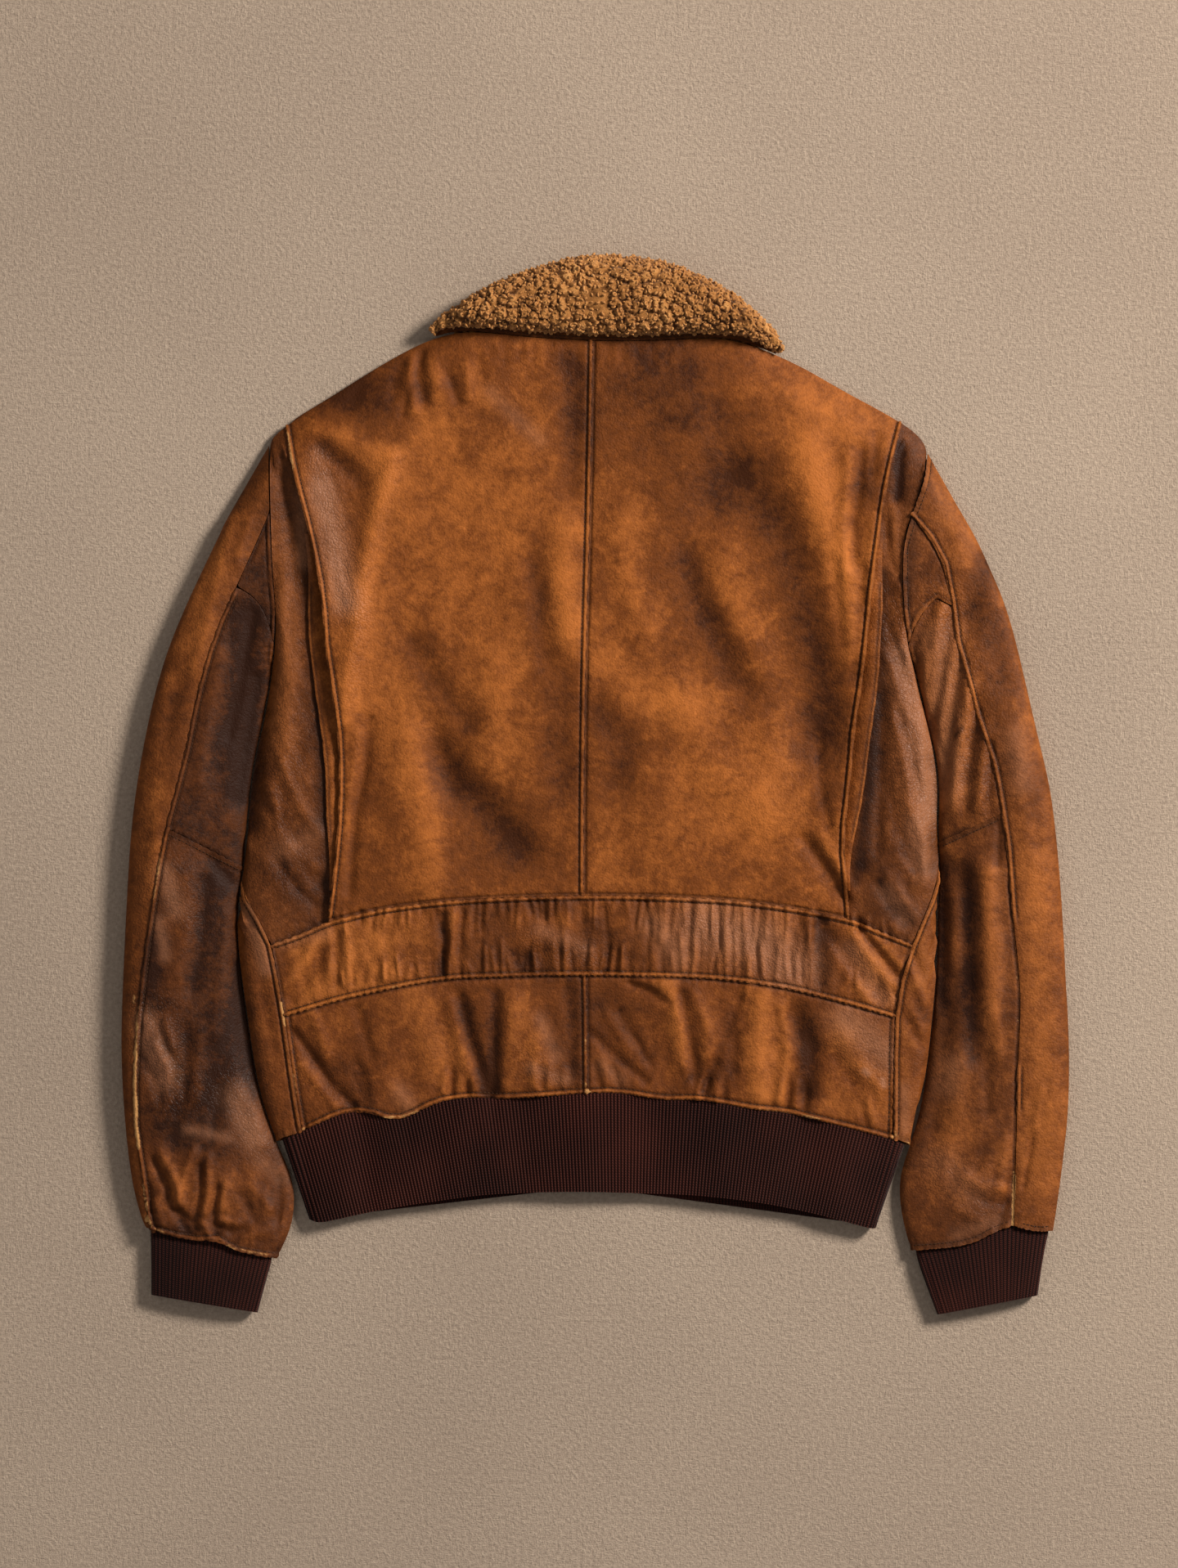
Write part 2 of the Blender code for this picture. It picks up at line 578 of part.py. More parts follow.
def back_panel(side):
    """Upper back, from the centre seam to the stitched edge of the pleat."""
    top_x = x_on(CENTRE_LINE, 0.336)
    tip = PLEAT_EDGE[side][0]
    low = PLEAT_EDGE[side][-1]
    centre_low = x_on(CENTRE_LINE, -0.084)
    point = pattern(
        reach_of(side, piece_of(BELT_TOP_LINE, 0, centre_low, low[0])),
        reach_of(side, piece_of(SHOULDERS, 0, top_x, tip[0])),
        reach_of(side, piece_of(CENTRE_LINE, 1, y_on(BELT_TOP_LINE, centre_low), y_on(SHOULDERS, top_x))),
        reach_of(side, piece_of(PLEAT_LINES[side], 1, y_on(BELT_TOP_LINE, low[0]), y_on(SHOULDERS, tip[0]))),
    )

    def place(across, along, inner):
        reach, y = point(across, along)
        return laid(side, reach, y, LEATHER if inner else 0.0, back_panel_rise(side, reach, y))

    across = inset(bordered_stops(10, 0.20), 0.20)
    along = inset(bordered_stops(16, 0.37), 0.37)
    wall(f"back_{SIDE_NAMES[side]}", "leather", across, along, place, sunk=("left", "bottom"))


def underarm_line(side):
    """The seam that joins front and side panel, on the flat pattern: up the side seam, round under
    the folded edge below the arm, and then up the armhole to the shoulder tip."""
    seam = reach_of(side, SIDE_LINES[side])
    start = SIDE_SEAM[side][-1][1]
    line = [point for point in seam if point[1] < start]
    for share in np.linspace(0, 1, 13):
        y = mix(start, ARMPIT_Y, share)
        line.append((edge_reach(side, y) + UNDERARM_TUCK * math.sin(math.pi * share), y))
    tip = BODY_EDGE[side][0][1]
    for share in np.linspace(0.04, 1, 25):
        y = mix(ARMPIT_Y, tip, share)
        line.append((edge_reach(side, y), y))
    return np.array(line)


def seam_stops(low, high):
    """The shares of a panel's height at which its rows meet the underarm seam's own rows."""
    rows = [y for y in SEAM_ROWS if low + SEAM_BORDER < y < high - SEAM_BORDER]
    return [0.0, *[(y - low) / (high - low) for y in rows], 1.0]


def side_panel(side):
    """Panel below the arm. It runs under the stitched edge of the back panel as a pleat."""
    tip = BODY_EDGE[side][0]
    shoulder = PLEAT_EDGE[side][0]
    inner_line = []
    for share in np.linspace(0, 1, 40):
        y = mix(PLEAT_EDGE[side][-1][1], shoulder[1], share)
        underlap = UNDERLAP * (1 - smoothstep((y - 0.195) / 0.027))
        inner_line.append((pleat_reach(side, y) - underlap, y))
    inner_line = np.array(inner_line)
    inner_line[0, 1] = y_on(BELT_TOP_LINE, side * inner_line[0, 0])
    inner_line[-1, 1] = y_on(SHOULDERS, shoulder[0])
    outer_line = underarm_line(side)
    outer_line = outer_line[outer_line[:, 1] >= BELT_TOP[0][1] - 1e-6]
    top = reach_of(side, piece_of(SHOULDERS, 0, shoulder[0], tip[0]))
    top[0], top[-1] = inner_line[-1], outer_line[-1]
    bottom = reach_of(side, piece_of(BELT_TOP_LINE, 0, side * inner_line[0, 0], side * outer_line[0, 0]))
    bottom[-1] = outer_line[0]
    point = pattern(bottom, top, inner_line, outer_line)

    def place(across, along, inner):
        reach, y = point(across, along)
        return laid(side, reach, y, LEATHER if inner else 0.0, side_panel_rise(side, reach, y))

    across = inset(bordered_stops(6, 0.055), 0.045)
    along = inset(seam_stops(outer_line[0, 1], outer_line[-1, 1]), 0.37)
    wall(f"side_panel_{SIDE_NAMES[side]}", "dark_leather", across, along, place, sunk=("bottom",))


def pleat(side):
    """The folded leather of the action pleat that looks out between back panel and side panel."""

    def place(across, along, inner):
        y = mix(PLEAT_FROM_Y, PLEAT_TO_Y, along)
        edge = pleat_reach(side, y)
        shows = heights_along(PLEAT_SHOWS[side], along)
        reach = edge - PLEAT_TUCK + (PLEAT_TUCK + shows) * across
        outside = max(0.0, reach - edge) / max(shows, 0.001)
        roll = 0.0016 * math.sin(math.pi * min(1.0, outside)) * min(1.0, shows / 0.008)
        lift = side_panel_rise(side, reach, y) + PLEAT_FLOAT + PLEAT_LEATHER + roll
        return laid(side, reach, y, PLEAT_LEATHER if inner else 0.0, lift)

    wall(f"pleat_{SIDE_NAMES[side]}", "leather", even_stops(5), even_stops(13), place)


def both_sides(x, y, depth, added):
    side = RIGHT if x >= 0 else LEFT
    return laid(side, side * x, y, depth, added)


def belt():
    """The curved band across the waist, gathered between its two seams."""
    point = pattern(
        BELT_BOTTOM_LINE,
        BELT_TOP_LINE,
        piece_of(SIDE_LINES[LEFT], 1, BELT_BOTTOM[0][1], BELT_TOP[0][1]),
        piece_of(SIDE_LINES[RIGHT], 1, BELT_BOTTOM[-1][1], BELT_TOP[-1][1]),
    )

    def place(across, along, inner):
        x, y = point(across, along)
        strength = 0.55 + 0.45 * math.sin(across * 9.0 + 1.0)
        wave = BELT_GATHER_RISE * strength * math.cos(2 * math.pi * BELT_GATHERS * across)
        return both_sides(x, y, LEATHER if inner else 0.0, wave)

    across = inset(even_stops(2 * BELT_GATHERS), 0.48)
    along = inset(bordered_stops(2, 0.06), 0.06)
    wall("belt", "leather", across, along, place, sunk=("left", "right", "bottom", "top"))


HEM_STOPS = inset(bordered_stops(20, 0.225), 0.225)


def lower_hem(side):
    """The hem of one lower back panel, from the centre seam to the side seam, as (reach, y)."""
    return reach_of(side, piece_of(HEM_LINE, 0, x_on(CENTRE_LINE, FRONT_HEM_Y), SIDE_SEAM[side][0][0]))


def lower_back(side):
    """Below the belt, from the centre seam to the side seam."""
    centre = x_on(CENTRE_LINE, BELT_BOTTOM[4][1])
    hem = lower_hem(side)
    outer_top = BELT_BOTTOM[0 if side == LEFT else -1]
    point = pattern(
        hem,
        reach_of(side, piece_of(BELT_BOTTOM_LINE, 0, centre, outer_top[0])),
        reach_of(side, piece_of(CENTRE_LINE, 1, hem[0, 1], y_on(BELT_BOTTOM_LINE, centre))),
        reach_of(side, piece_of(SIDE_LINES[side], 1, hem[-1, 1], outer_top[1])),
    )

    def place(across, along, inner):
        reach, y = point(across, along)
        wave = HEM_GATHER_RISE * math.cos(2 * math.pi * 5.5 * across) * (1 - along) ** 2
        return laid(side, reach, y, LEATHER if inner else 0.0, wave)

    along = inset(bordered_stops(4, 0.09), 0.09)
    sunk = ("left", "right", "bottom", "top")
    wall(f"lower_back_{SIDE_NAMES[side]}", "leather", HEM_STOPS, along, place, sunk)


def front_hem_y(side, x):
    """The straight hem of a front, on the under side."""
    corner = BODY_EDGE[side][-1]
    return float(np.interp(side * x, [side * CENTRE_FRONT_X, side * corner[0]], [FRONT_HEM_Y, corner[1]]))


def front_panel(side):
    """The front. It shows as the strip beside the back's side seam, goes round the folded edge, and
    lies flat under the back as far as the zip."""
    outer_line = underarm_line(side)
    centre = CENTRE_FRONT_X + side * ZIP_HALF_GAP

    def turned_under(x, y):
        return 2 * edge_reach(side, y) - side * x, y

    corner = BODY_EDGE[side][-1]
    hem_over = reach_of(side, piece_of(HEM_LINE, 0, SIDE_SEAM[side][0][0], corner[0]))
    hem_over[0] = outer_line[0]
    hem_stops = [mix(corner[0], centre, share) for share in np.linspace(0.04, 1, 14)]
    bottom = np.vstack([hem_over, [turned_under(x, front_hem_y(side, x)) for x in hem_stops]])
    neck_corner = FRONT_NECK[0 if side == LEFT else -1]
    shoulder = piece_of(SHOULDERS, 0, BODY_EDGE[side][0][0], neck_corner[0])
    over = np.vstack([shoulder, piece_of(FRONT_NECK_LINE, 0, neck_corner[0], centre)[1:]])
    top = np.array([turned_under(x, y) for x, y in over])
    top[0] = outer_line[-1]
    zip_side = np.array([turned_under(centre, y) for y in np.linspace(bottom[-1][1], top[-1][1], 30)])
    point = pattern(bottom, top, outer_line, zip_side)

    def place(across, along, inner):
        reach, y = point(across, along)
        return laid(side, reach, y, LEATHER if inner else 0.0)

    neck_share = shares_of(top)[len(shoulder) - 1]
    turns = [0.0, 0.015, 0.035, 0.055, 0.075, 0.095, 0.115, 0.14, 0.25, 0.40]
    neck_stops = [mix(neck_share, 1.0, step / 6) for step in range(7)]
    across = inset([*turns, *neck_stops], 0.13)
    along = inset(seam_stops(outer_line[0, 1], outer_line[-1, 1]), 0.50)
    wall(f"front_{SIDE_NAMES[side]}", "leather", across, along, place)


def band_top_line():
    """The top of the waistband: it follows the hem's own corners, a seam gap below them."""
    points = []
    left, right = walker(lower_hem(LEFT)), walker(lower_hem(RIGHT))
    for stop in reversed(HEM_STOPS):
        reach, y = left(stop)
        points.append((-reach, y))
    for stop in HEM_STOPS:
        points.append(tuple(right(stop)))
    line = np.vstack([BODY_EDGE[LEFT][-1], points, BODY_EDGE[RIGHT][-1]])
    return piece_of(line, 0, *BAND_CORNERS) - [0.0, SEAM_GAP]


def waistband():
    """Rib-knit band: one strip from one side of the zip, round the back, to the other side."""
    top_line, bottom_line = band_top_line(), smooth_line(BAND_BOTTOM)
    top_at, bottom_at = walker(top_line), walker(bottom_line)
    width = np.linalg.norm(top_line[-1] - top_line[0])
    ribs = round(width / RIB_PITCH)
    beneath = [BAND_ROUND_UNDER / width * step for step in (0.33, 0.67, 1.0)] + [0.5]
    across = [*[-way for way in reversed(beneath)], *even_stops(2 * ribs), *[1 + way for way in beneath]]

    def under_plan(side, way, along, depth):
        """A point of the part that lies beneath, between the folded edge and the zip."""
        index = 0 if side == LEFT else -1
        end = CENTRE_FRONT_X + side * (ZIP_HALF_TAPE + BESIDE_GAP)
        corner = top_line[index][0]
        share = 1.0 if way < -0.2 else turned_in(way, depth, BAND_ROUND_UNDER) / abs(corner - end)
        x = mix(corner, end, share)
        high = np.array([x, front_hem_y(side, x) - 2 * SEAM_GAP])
        low = mix(bottom_line[index], np.array([end, FRONT_RIM_Y]), share)
        return mix(high, low, along)

    def place(share, along, inner):
        depth = KNIT if inner else 0.0
        side = LEFT if share <= 0.5 else RIGHT
        way = (share if side == LEFT else 1 - share) * width
        rim = mix(HEM_HEIGHT, BAND_RIM_HEIGHT, along)
        if way < 0:
            x, y = under_plan(side, way, along, depth)
            return Vector((x, y, turned_height(way, rim, BAND_MIDDLE, depth, BAND_ROUND_UNDER)))
        inwards = turned_in(way, depth, BAND_ROUND) / width
        where = inwards if side == LEFT else 1 - inwards
        x, y = mix(top_at(where), bottom_at(where), along)
        z = turned_height(way, rim, BAND_MIDDLE, depth, BAND_ROUND)
        crest = round(share * 2 * ribs) % 2 == 1
        return Vector((x, y, z + RIB_RISE if crest and not inner else z))

    wall("waistband", "knit", across, even_stops(1), place)


def sleeve_lines(side):
    """Inner edge of a sleeve, as (reach, y), and its rings as close steps along smooth lines."""
    rings = np.array(SLEEVE_RINGS[side])
    edge = reach_of(side, EDGE_LINES[side])
    beside = edge[(edge[:, 1] <= ARMPIT_Y + 0.001) & (edge[:, 1] > HEM_Y + 0.003)] + [BESIDE_GAP, 0]
    inner = np.vstack([beside, smooth_line(SLEEVE_INNER_END[side])])
    inner = inner[np.argsort(inner[:, 1])]
    return inner, smooth_line(rings)


SLEEVES = {side: sleeve_lines(side) for side in (LEFT, RIGHT)}


def ring_ends(side, ring):
    """The two ends of a ring on the plan, and where its back seam runs. ring is a fractional number."""
    inner, dense = SLEEVES[side]
    where = ring * (len(dense) - 1) / (len(SLEEVE_RINGS[side]) - 1)
    index = min(int(where), len(dense) - 2)
    outer_reach, outer_y, inner_y, seam = mix(dense[index], dense[index + 1], where - index)
    inner_reach = float(np.interp(inner_y, inner[:, 1], inner[:, 0]))
    return np.array([outer_reach, outer_y]), np.array([inner_reach, inner_y]), seam


def bulge(share, sharpness):
    """Height of a flattened ring at a share of its width: 0 at its two edges and 1 half way."""
    return max(0.0, 1 - abs(2 * share - 1) ** sharpness) ** (1 / sharpness)


def share_of(girth):
    """Share of a ring's width at a place round it: 0 to 1 over the top from the outer edge, and below 0
    or above 1 on the under side."""
    return -girth if girth < 0 else min(girth, 2 - girth)


def hem_rise(side, girth):
    """How far a sleeve's hem is drawn up at a place round it. Only its upper face is."""
    if not 0 < girth < 1:
        return 0.0
    middle, spread, depth = SLEEVE_HEM_NOTCH[side]
    return depth * math.exp(-(((girth - middle) / spread) ** 2)) - 0.002 * math.sin(math.pi * girth)


def sleeve_point(side, ring, girth, depth):
    """A point of the sleeve: ring counts from the armhole, girth is its place round the ring."""
    way = ring / (len(SLEEVE_RINGS[side]) - 1)
    outer, inner_end, _ = ring_ends(side, ring)
    cap = smoothstep(1 - way / CAP_BLEND)
    closing = smoothstep((way - 0.86) / 0.14)
    flat_share = share_of(girth)
    swell = bulge(flat_share, RING_ROUND_OVER if 0 <= girth <= 1 else RING_ROUND_UNDER)
    drawn_in = depth * (1 - cap * (1 - flat_share)) * (1 - swell) / np.linalg.norm(inner_end - outer)
    share = flat_share + math.copysign(drawn_in, 0.5 - flat_share)
    plan = mix(outer, inner_end, share)
    first_outer, first_inner, _ = ring_ends(side, 0)
    seam_y = mix(first_outer[1], first_inner[1], share)
    bow = edge_reach(side, seam_y) - mix(first_outer[0], first_inner[0], share) + ARMHOLE_GAP
    plan[0] += bow * max(0.0, 1 - way / CAP_BLEND) ** 2
    plan[1] += hem_rise(side, girth) * smoothstep((way - 0.90) / 0.10)
    outer_middle = mix(SLEEVE_OUTER_MIDDLE, SHOULDER_EDGE_HEIGHT / 2 + 0.001, cap)
    inner_middle = mix(mix(SLEEVE_INNER_MIDDLE, EDGE_MIDDLE, closing), EDGE_MIDDLE, cap)
    middle = mix(outer_middle, inner_middle, share)
    if not 0 <= girth <= 1:
        z = middle - (middle - depth + 0.0008) * swell
        return Vector((side * plan[0], plan[1], max(depth, z)))
    lean = SLEEVE_LEAN * (1 - cap) * (1 - closing)
    height = heights_along(SLEEVE_HEIGHTS, way) * (1 - lean * share)
    z = middle + (height - depth - middle) * swell
    z += fold_rise(SLEEVE_FOLDS[side], side * plan[0], plan[1]) * swell**2 * (1 - cap)
    body = laid(side, edge_reach(side, seam_y), seam_y, depth)
    return Vector((side * plan[0], plan[1], mix(z, body.z, cap)))


def sleeve(side):
    """Outer piece, underarm gusset, and the upper and lower under pieces, split at the elbow."""
    name = SIDE_NAMES[side]
    last = len(SLEEVE_RINGS[side]) - 1
    elbow = ELBOW_RING[side]
    gusset_end = GUSSET_END_RING[side]
    ring_gap = 0.006
    near = [gusset_end * stop for stop in GUSSET_STOPS]
    to_elbow = [mix(gusset_end, elbow, step / UPPER_ROWS[side]) for step in range(1, UPPER_ROWS[side] + 1)]
    to_hem = [mix(elbow, last, step / LOWER_ROWS) for step in range(1, LOWER_ROWS + 1)]

    def half_gap(ring):
        outer, inner_end, _ = ring_ends(side, ring)
        return 0.75 * SEAM_GAP / np.linalg.norm(inner_end - outer)

    def seam(ring):
        return ring_ends(side, ring)[2]

    def gusset_edge(ring):
        """Where the gusset ends on a ring: low on the armhole, at the back seam where it runs out."""
        return mix(GUSSET_LOW_SHARE, seam(ring), min(1.0, ring / gusset_end))

    def piece(start, end):
        """Lays a piece between two lines: across 0 to 1 over the top, beyond that on the under side."""

        def place(across, ring, inner):
            gap = half_gap(ring)
            if across < 0:
                girth = across * (UNDER_SEAM_SHARE - gap)
            elif across > 1:
                girth = 1 + (across - 1) * (1 - UNDER_SEAM_SHARE - gap)
            else:
                first = start(ring) + (gap if start(ring) > 0 else 0.0)
                final = end(ring) - (gap if end(ring) < 1 else 0.0)
                girth = mix(first, final, across)
            return sleeve_point(side, ring, girth, LEATHER if inner else 0.0)

        return place

    across = [-1.0, -0.10, -0.02, 0.0, 0.03, 0.12, 0.30, 0.50, 0.72, 0.93, 1.0]
    outer = piece(lambda ring: 0.0, seam)
    wall(f"sleeve_outer_{name}", "leather", across, [*near, *to_elbow, *to_hem], outer, sunk=("right",))

    gusset = piece(seam, lambda ring: gusset_edge(ring) - half_gap(ring))
    wall(f"gusset_{name}", "leather", even_stops(4), near[:-1], gusset, sunk=("left", "right"))

    across = [0.0, 0.05, 0.20, 0.36, 0.52, 0.68, 0.84, 0.96, 1.0, 1.10, 2.0]
    along = [*near, *to_elbow[:-1], elbow - ring_gap]
    finish = "dark_leather" if side == RIGHT else "leather"
    upper = piece(gusset_edge, lambda ring: 1.0)
    wall(f"sleeve_upper_{name}", finish, across, along, upper, sunk=("left", "top"))

    along = [elbow + ring_gap, *to_hem]
    finish = "dark_leather" if side == LEFT else "leather"
    lower = piece(seam, lambda ring: 1.0)
    wall(f"sleeve_lower_{name}", finish, across, along, lower, sunk=("left", "bottom"))


def cuff(side):
    """Rib-knit cuff, a flattened tube that starts inside the sleeve's hem and comes out of it."""
    over = [step / (2 * CUFF_RIBS) for step in range(2 * CUFF_RIBS)]
    under = [1.0, 1.03, 1.15, 1.4, 1.7, 1.9, 1.98, 2.0]
    girths = [*over, *under]

    def place(number, row, inner):
        index = round(number * (len(girths) - 1))
        girth = girths[index]
        depth = KNIT if inner else 0.0
        outer_x, outer_y, inner_x, inner_y = CUFF_RINGS[side][row]
        outer, inner_end = np.array([outer_x, outer_y]), np.array([inner_x, inner_y])
        drawn_in = depth / np.linalg.norm(inner_end - outer)
        flat_share = share_of(girth)
        plan = mix(outer, inner_end, drawn_in + (1 - 2 * drawn_in) * flat_share)
        if row < 2:
            plan[1] += hem_rise(side, girth)
        if girth > 1:
            floor = CUFF_FLOORS[row] + depth
            z = CUFF_MIDDLE - (CUFF_MIDDLE - floor) * bulge(flat_share, RING_ROUND_UNDER)
        else:
            z = CUFF_MIDDLE + (CUFF_HEIGHTS[row] - depth - CUFF_MIDDLE) * bulge(flat_share, RING_ROUND_OVER)
        if index % 2 == 1 and index < 2 * CUFF_RIBS and not inner and row > 1:
            z += RIB_RISE
        return Vector((side * plan[0], plan[1], z))

    across = even_stops(len(girths) - 1)
    wall(f"cuff_{SIDE_NAMES[side]}", "knit", across, range(len(CUFF_RINGS[side])), place, closed=True)


def neck_level(x):
    """Upper face of the back just at the neck seam."""
    return back_height(x, y_on(SHOULDERS, x))


def collar_back():
    """The fall of the shearling collar, a thick pad of hide and pile."""
    top_at, bottom_at = walker(smooth_line(COLLAR_TOP)), walker(smooth_line(COLLAR_BOTTOM))

    def place(across, along, inner):
        x, y = mix(bottom_at(across), top_at(across), along)
        to_end = (1 - abs(2 * across - 1)) / 0.30
        crown = mix(COLLAR_END_HEIGHT, COLLAR_TOP_HEIGHT, smoothstep(to_end))
        floor = neck_level(min(0.141, max(-0.124, x))) + 0.0008 - 0.0020 * smoothstep((along - 0.25) / 0.3)
        floor = mix(floor, 0.0090, smoothstep((along - 0.35) / 0.5))
        if inner:
            return Vector((x, y, floor))
        swell = (1 - abs(2 * along - 1) ** 2.4) ** (1 / 2.4) * min(1.0, 0.35 + to_end)
        lump = 0.0007 * math.sin(across * 61) * math.sin(along * 17 + across * 23)
        rim = floor + COLLAR_RIM
        return Vector((x, y, mix(rim, crown, swell) + lump))

    across = [0.5 - 0.5 * math.cos(math.pi * step / 24) for step in range(25)]
    along = [0.0, 0.06, 0.20, 0.38, 0.58, 0.77, 0.92, 1.0]
    wall("collar_back", "shearling", across, along, place)


def collar_stand():
    """Leather strip between the neck seam and the fur, which runs on under the fur."""
    seam_at = walker(piece_of(SHOULDERS, 0, -0.1205, 0.1370) + [0.0, SEAM_GAP])

    def place(across, along, inner):
        x, y = seam_at(across)
        y += STAND_DEPTH * along * min(1.0, 8 * across + 0.25, 8 * (1 - across) + 0.25)
        z = neck_level(x) - 0.0006 * along - (LEATHER if inner else 0.0)
        return Vector((x, y, z))

    wall("collar_stand", "leather", even_stops(26), even_stops(2), place)


def collar_front(side):
    """The front leaf of the collar, pressed flat under the jacket."""
    gap = CENTRE_FRONT_X + side * 0.0008
    end = {LEFT: -0.106, RIGHT: 0.120}[side]
    upper_at = walker(piece_of(smooth_line(COLLAR_TOP), 0, gap, end) - [0.0, 0.003])
    lower_at = walker(piece_of(FRONT_NECK_LINE, 0, gap, end) + [0.0, 2 * SEAM_GAP])

    def place(across, along, inner):
        x, y = mix(lower_at(across), upper_at(across), along)
        if inner:
            return Vector((x, y, 0.0))
        swell = (1 - abs(2 * along - 1) ** 2.4) ** (1 / 2.4)
        return Vector((x, y, mix(0.0036, COLLAR_FRONT_HEIGHT - 0.0025 * across, swell)))

    wall(f"collar_front_{SIDE_NAMES[side]}", "shearling", even_stops(7), even_stops(5), place)


def zip_fastener():
    """Closed front zip: a tape behind the two front edges, with its slider at the neck."""
    low, high = -0.3050, 0.2960
    bpy.ops.mesh.primitive_cube_add(size=1, location=(CENTRE_FRONT_X, (low + high) / 2, 0.0029))
    tape = bpy.context.object
    tape.name = "zip_tape"
    tape.scale = (2 * ZIP_HALF_TAPE, high - low, 0.0012)
    bpy.ops.mesh.primitive_cube_add(size=1, location=(CENTRE_FRONT_X, high - 0.010, 0.0011))
    slider = bpy.context.object
    slider.name = "zip_slider"
    slider.scale = (0.0076, 0.0130, 0.0018)
    for thing, finish in ((tape, "knit"), (slider, "zip_metal")):
        bpy.ops.object.select_all(action="DESELECT")
        thing.select_set(True)
        bpy.context.view_layer.objects.active = thing
        bpy.ops.object.transform_apply(location=False, rotation=False, scale=True)
        thing.data.materials.append(finish_material(finish))
        for group in list(thing.users_collection):
            group.objects.unlink(thing)
        JACKET.objects.link(thing)
    bevel = slider.modifiers.new("worn corners", "BEVEL")
    bevel.width = 0.0005
    bevel.segments = 2


clear_scene()
JACKET = bpy.data.collections.new("leather jacket")
bpy.context.scene.collection.children.link(JACKET)

belt()
waistband()
collar_back()
collar_stand()
zip_fastener()
for jacket_side in (LEFT, RIGHT):
    back_panel(jacket_side)
    side_panel(jacket_side)
    pleat(jacket_side)
    lower_back(jacket_side)
    front_panel(jacket_side)
    sleeve(jacket_side)
    cuff(jacket_side)
    collar_front(jacket_side)
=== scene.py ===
import json
import math

import bmesh
import bpy
import numpy as np
from mathutils import Matrix, Vector, noise
from mathutils.bvhtree import BVHTree
from mathutils.kdtree import KDTree

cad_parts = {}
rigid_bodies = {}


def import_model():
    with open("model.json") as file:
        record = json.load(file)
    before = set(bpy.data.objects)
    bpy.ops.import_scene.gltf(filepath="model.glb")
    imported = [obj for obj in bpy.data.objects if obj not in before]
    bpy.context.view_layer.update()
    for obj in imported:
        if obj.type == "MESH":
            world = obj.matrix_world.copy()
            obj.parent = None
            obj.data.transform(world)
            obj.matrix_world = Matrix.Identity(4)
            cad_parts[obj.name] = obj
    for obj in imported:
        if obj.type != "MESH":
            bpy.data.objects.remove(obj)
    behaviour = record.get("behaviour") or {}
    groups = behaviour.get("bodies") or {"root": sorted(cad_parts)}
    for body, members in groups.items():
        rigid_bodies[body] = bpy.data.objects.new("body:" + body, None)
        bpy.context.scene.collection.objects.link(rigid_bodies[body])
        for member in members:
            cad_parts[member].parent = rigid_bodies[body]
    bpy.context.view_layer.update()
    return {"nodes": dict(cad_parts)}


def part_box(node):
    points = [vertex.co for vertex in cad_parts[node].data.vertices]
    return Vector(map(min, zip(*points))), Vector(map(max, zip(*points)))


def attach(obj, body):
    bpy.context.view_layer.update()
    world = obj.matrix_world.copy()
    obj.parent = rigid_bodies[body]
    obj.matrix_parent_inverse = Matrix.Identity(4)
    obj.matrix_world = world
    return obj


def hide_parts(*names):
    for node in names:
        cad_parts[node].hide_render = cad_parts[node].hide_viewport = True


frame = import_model()


# Camera
# The jacket is seen from straight above, through a long lens, six metres up.
PHOTO_WIDTH, PHOTO_HEIGHT = 1440, 1917
PIXEL = 0.00062
MIDDLE_PIXEL = (727.5, 959.5)
CAMERA_HEIGHT = 6.0
SENSOR = 24.0
bpy.ops.object.camera_add(
    location=(
        (PHOTO_WIDTH / 2 - MIDDLE_PIXEL[0]) * PIXEL,
        (MIDDLE_PIXEL[1] - PHOTO_HEIGHT / 2) * PIXEL,
        CAMERA_HEIGHT,
    ),
    rotation=(0, 0, 0),
)
camera = bpy.context.object
camera.name = "camera"
camera.data.sensor_fit = "VERTICAL"
camera.data.sensor_height = SENSOR
camera.data.lens = SENSOR * CAMERA_HEIGHT / (PHOTO_HEIGHT * PIXEL)
bpy.context.scene.camera = camera
bpy.context.scene.view_settings.view_transform = "Standard"


# Light
# One large soft light from the upper right, low enough to rake over the folds, a weak one from the
# left, and an even pale surround.
def soft_light(name, place, size, power, colour):
    bpy.ops.object.light_add(type="AREA", location=place)
    light = bpy.context.object
    light.name = name
    light.data.shape = "DISK"
    light.data.size = size
    light.data.energy = power
    light.data.color = colour
    light.rotation_euler = (-Vector(place)).to_track_quat("-Z", "Y").to_euler()


soft_light("key_light", (3.3, 2.0, 2.40), 1.2, 330.0, (1.0, 0.965, 0.91))
soft_light("fill_light", (-1.6, -0.4, 2.4), 2.2, 8.0, (0.96, 0.97, 1.0))
surround = bpy.data.worlds.new("surround")
surround.use_nodes = True
surround.node_tree.nodes["Background"].inputs["Color"].default_value = (1.0, 0.985, 0.96, 1.0)
surround.node_tree.nodes["Background"].inputs["Strength"].default_value = 0.21
bpy.context.scene.world = surround


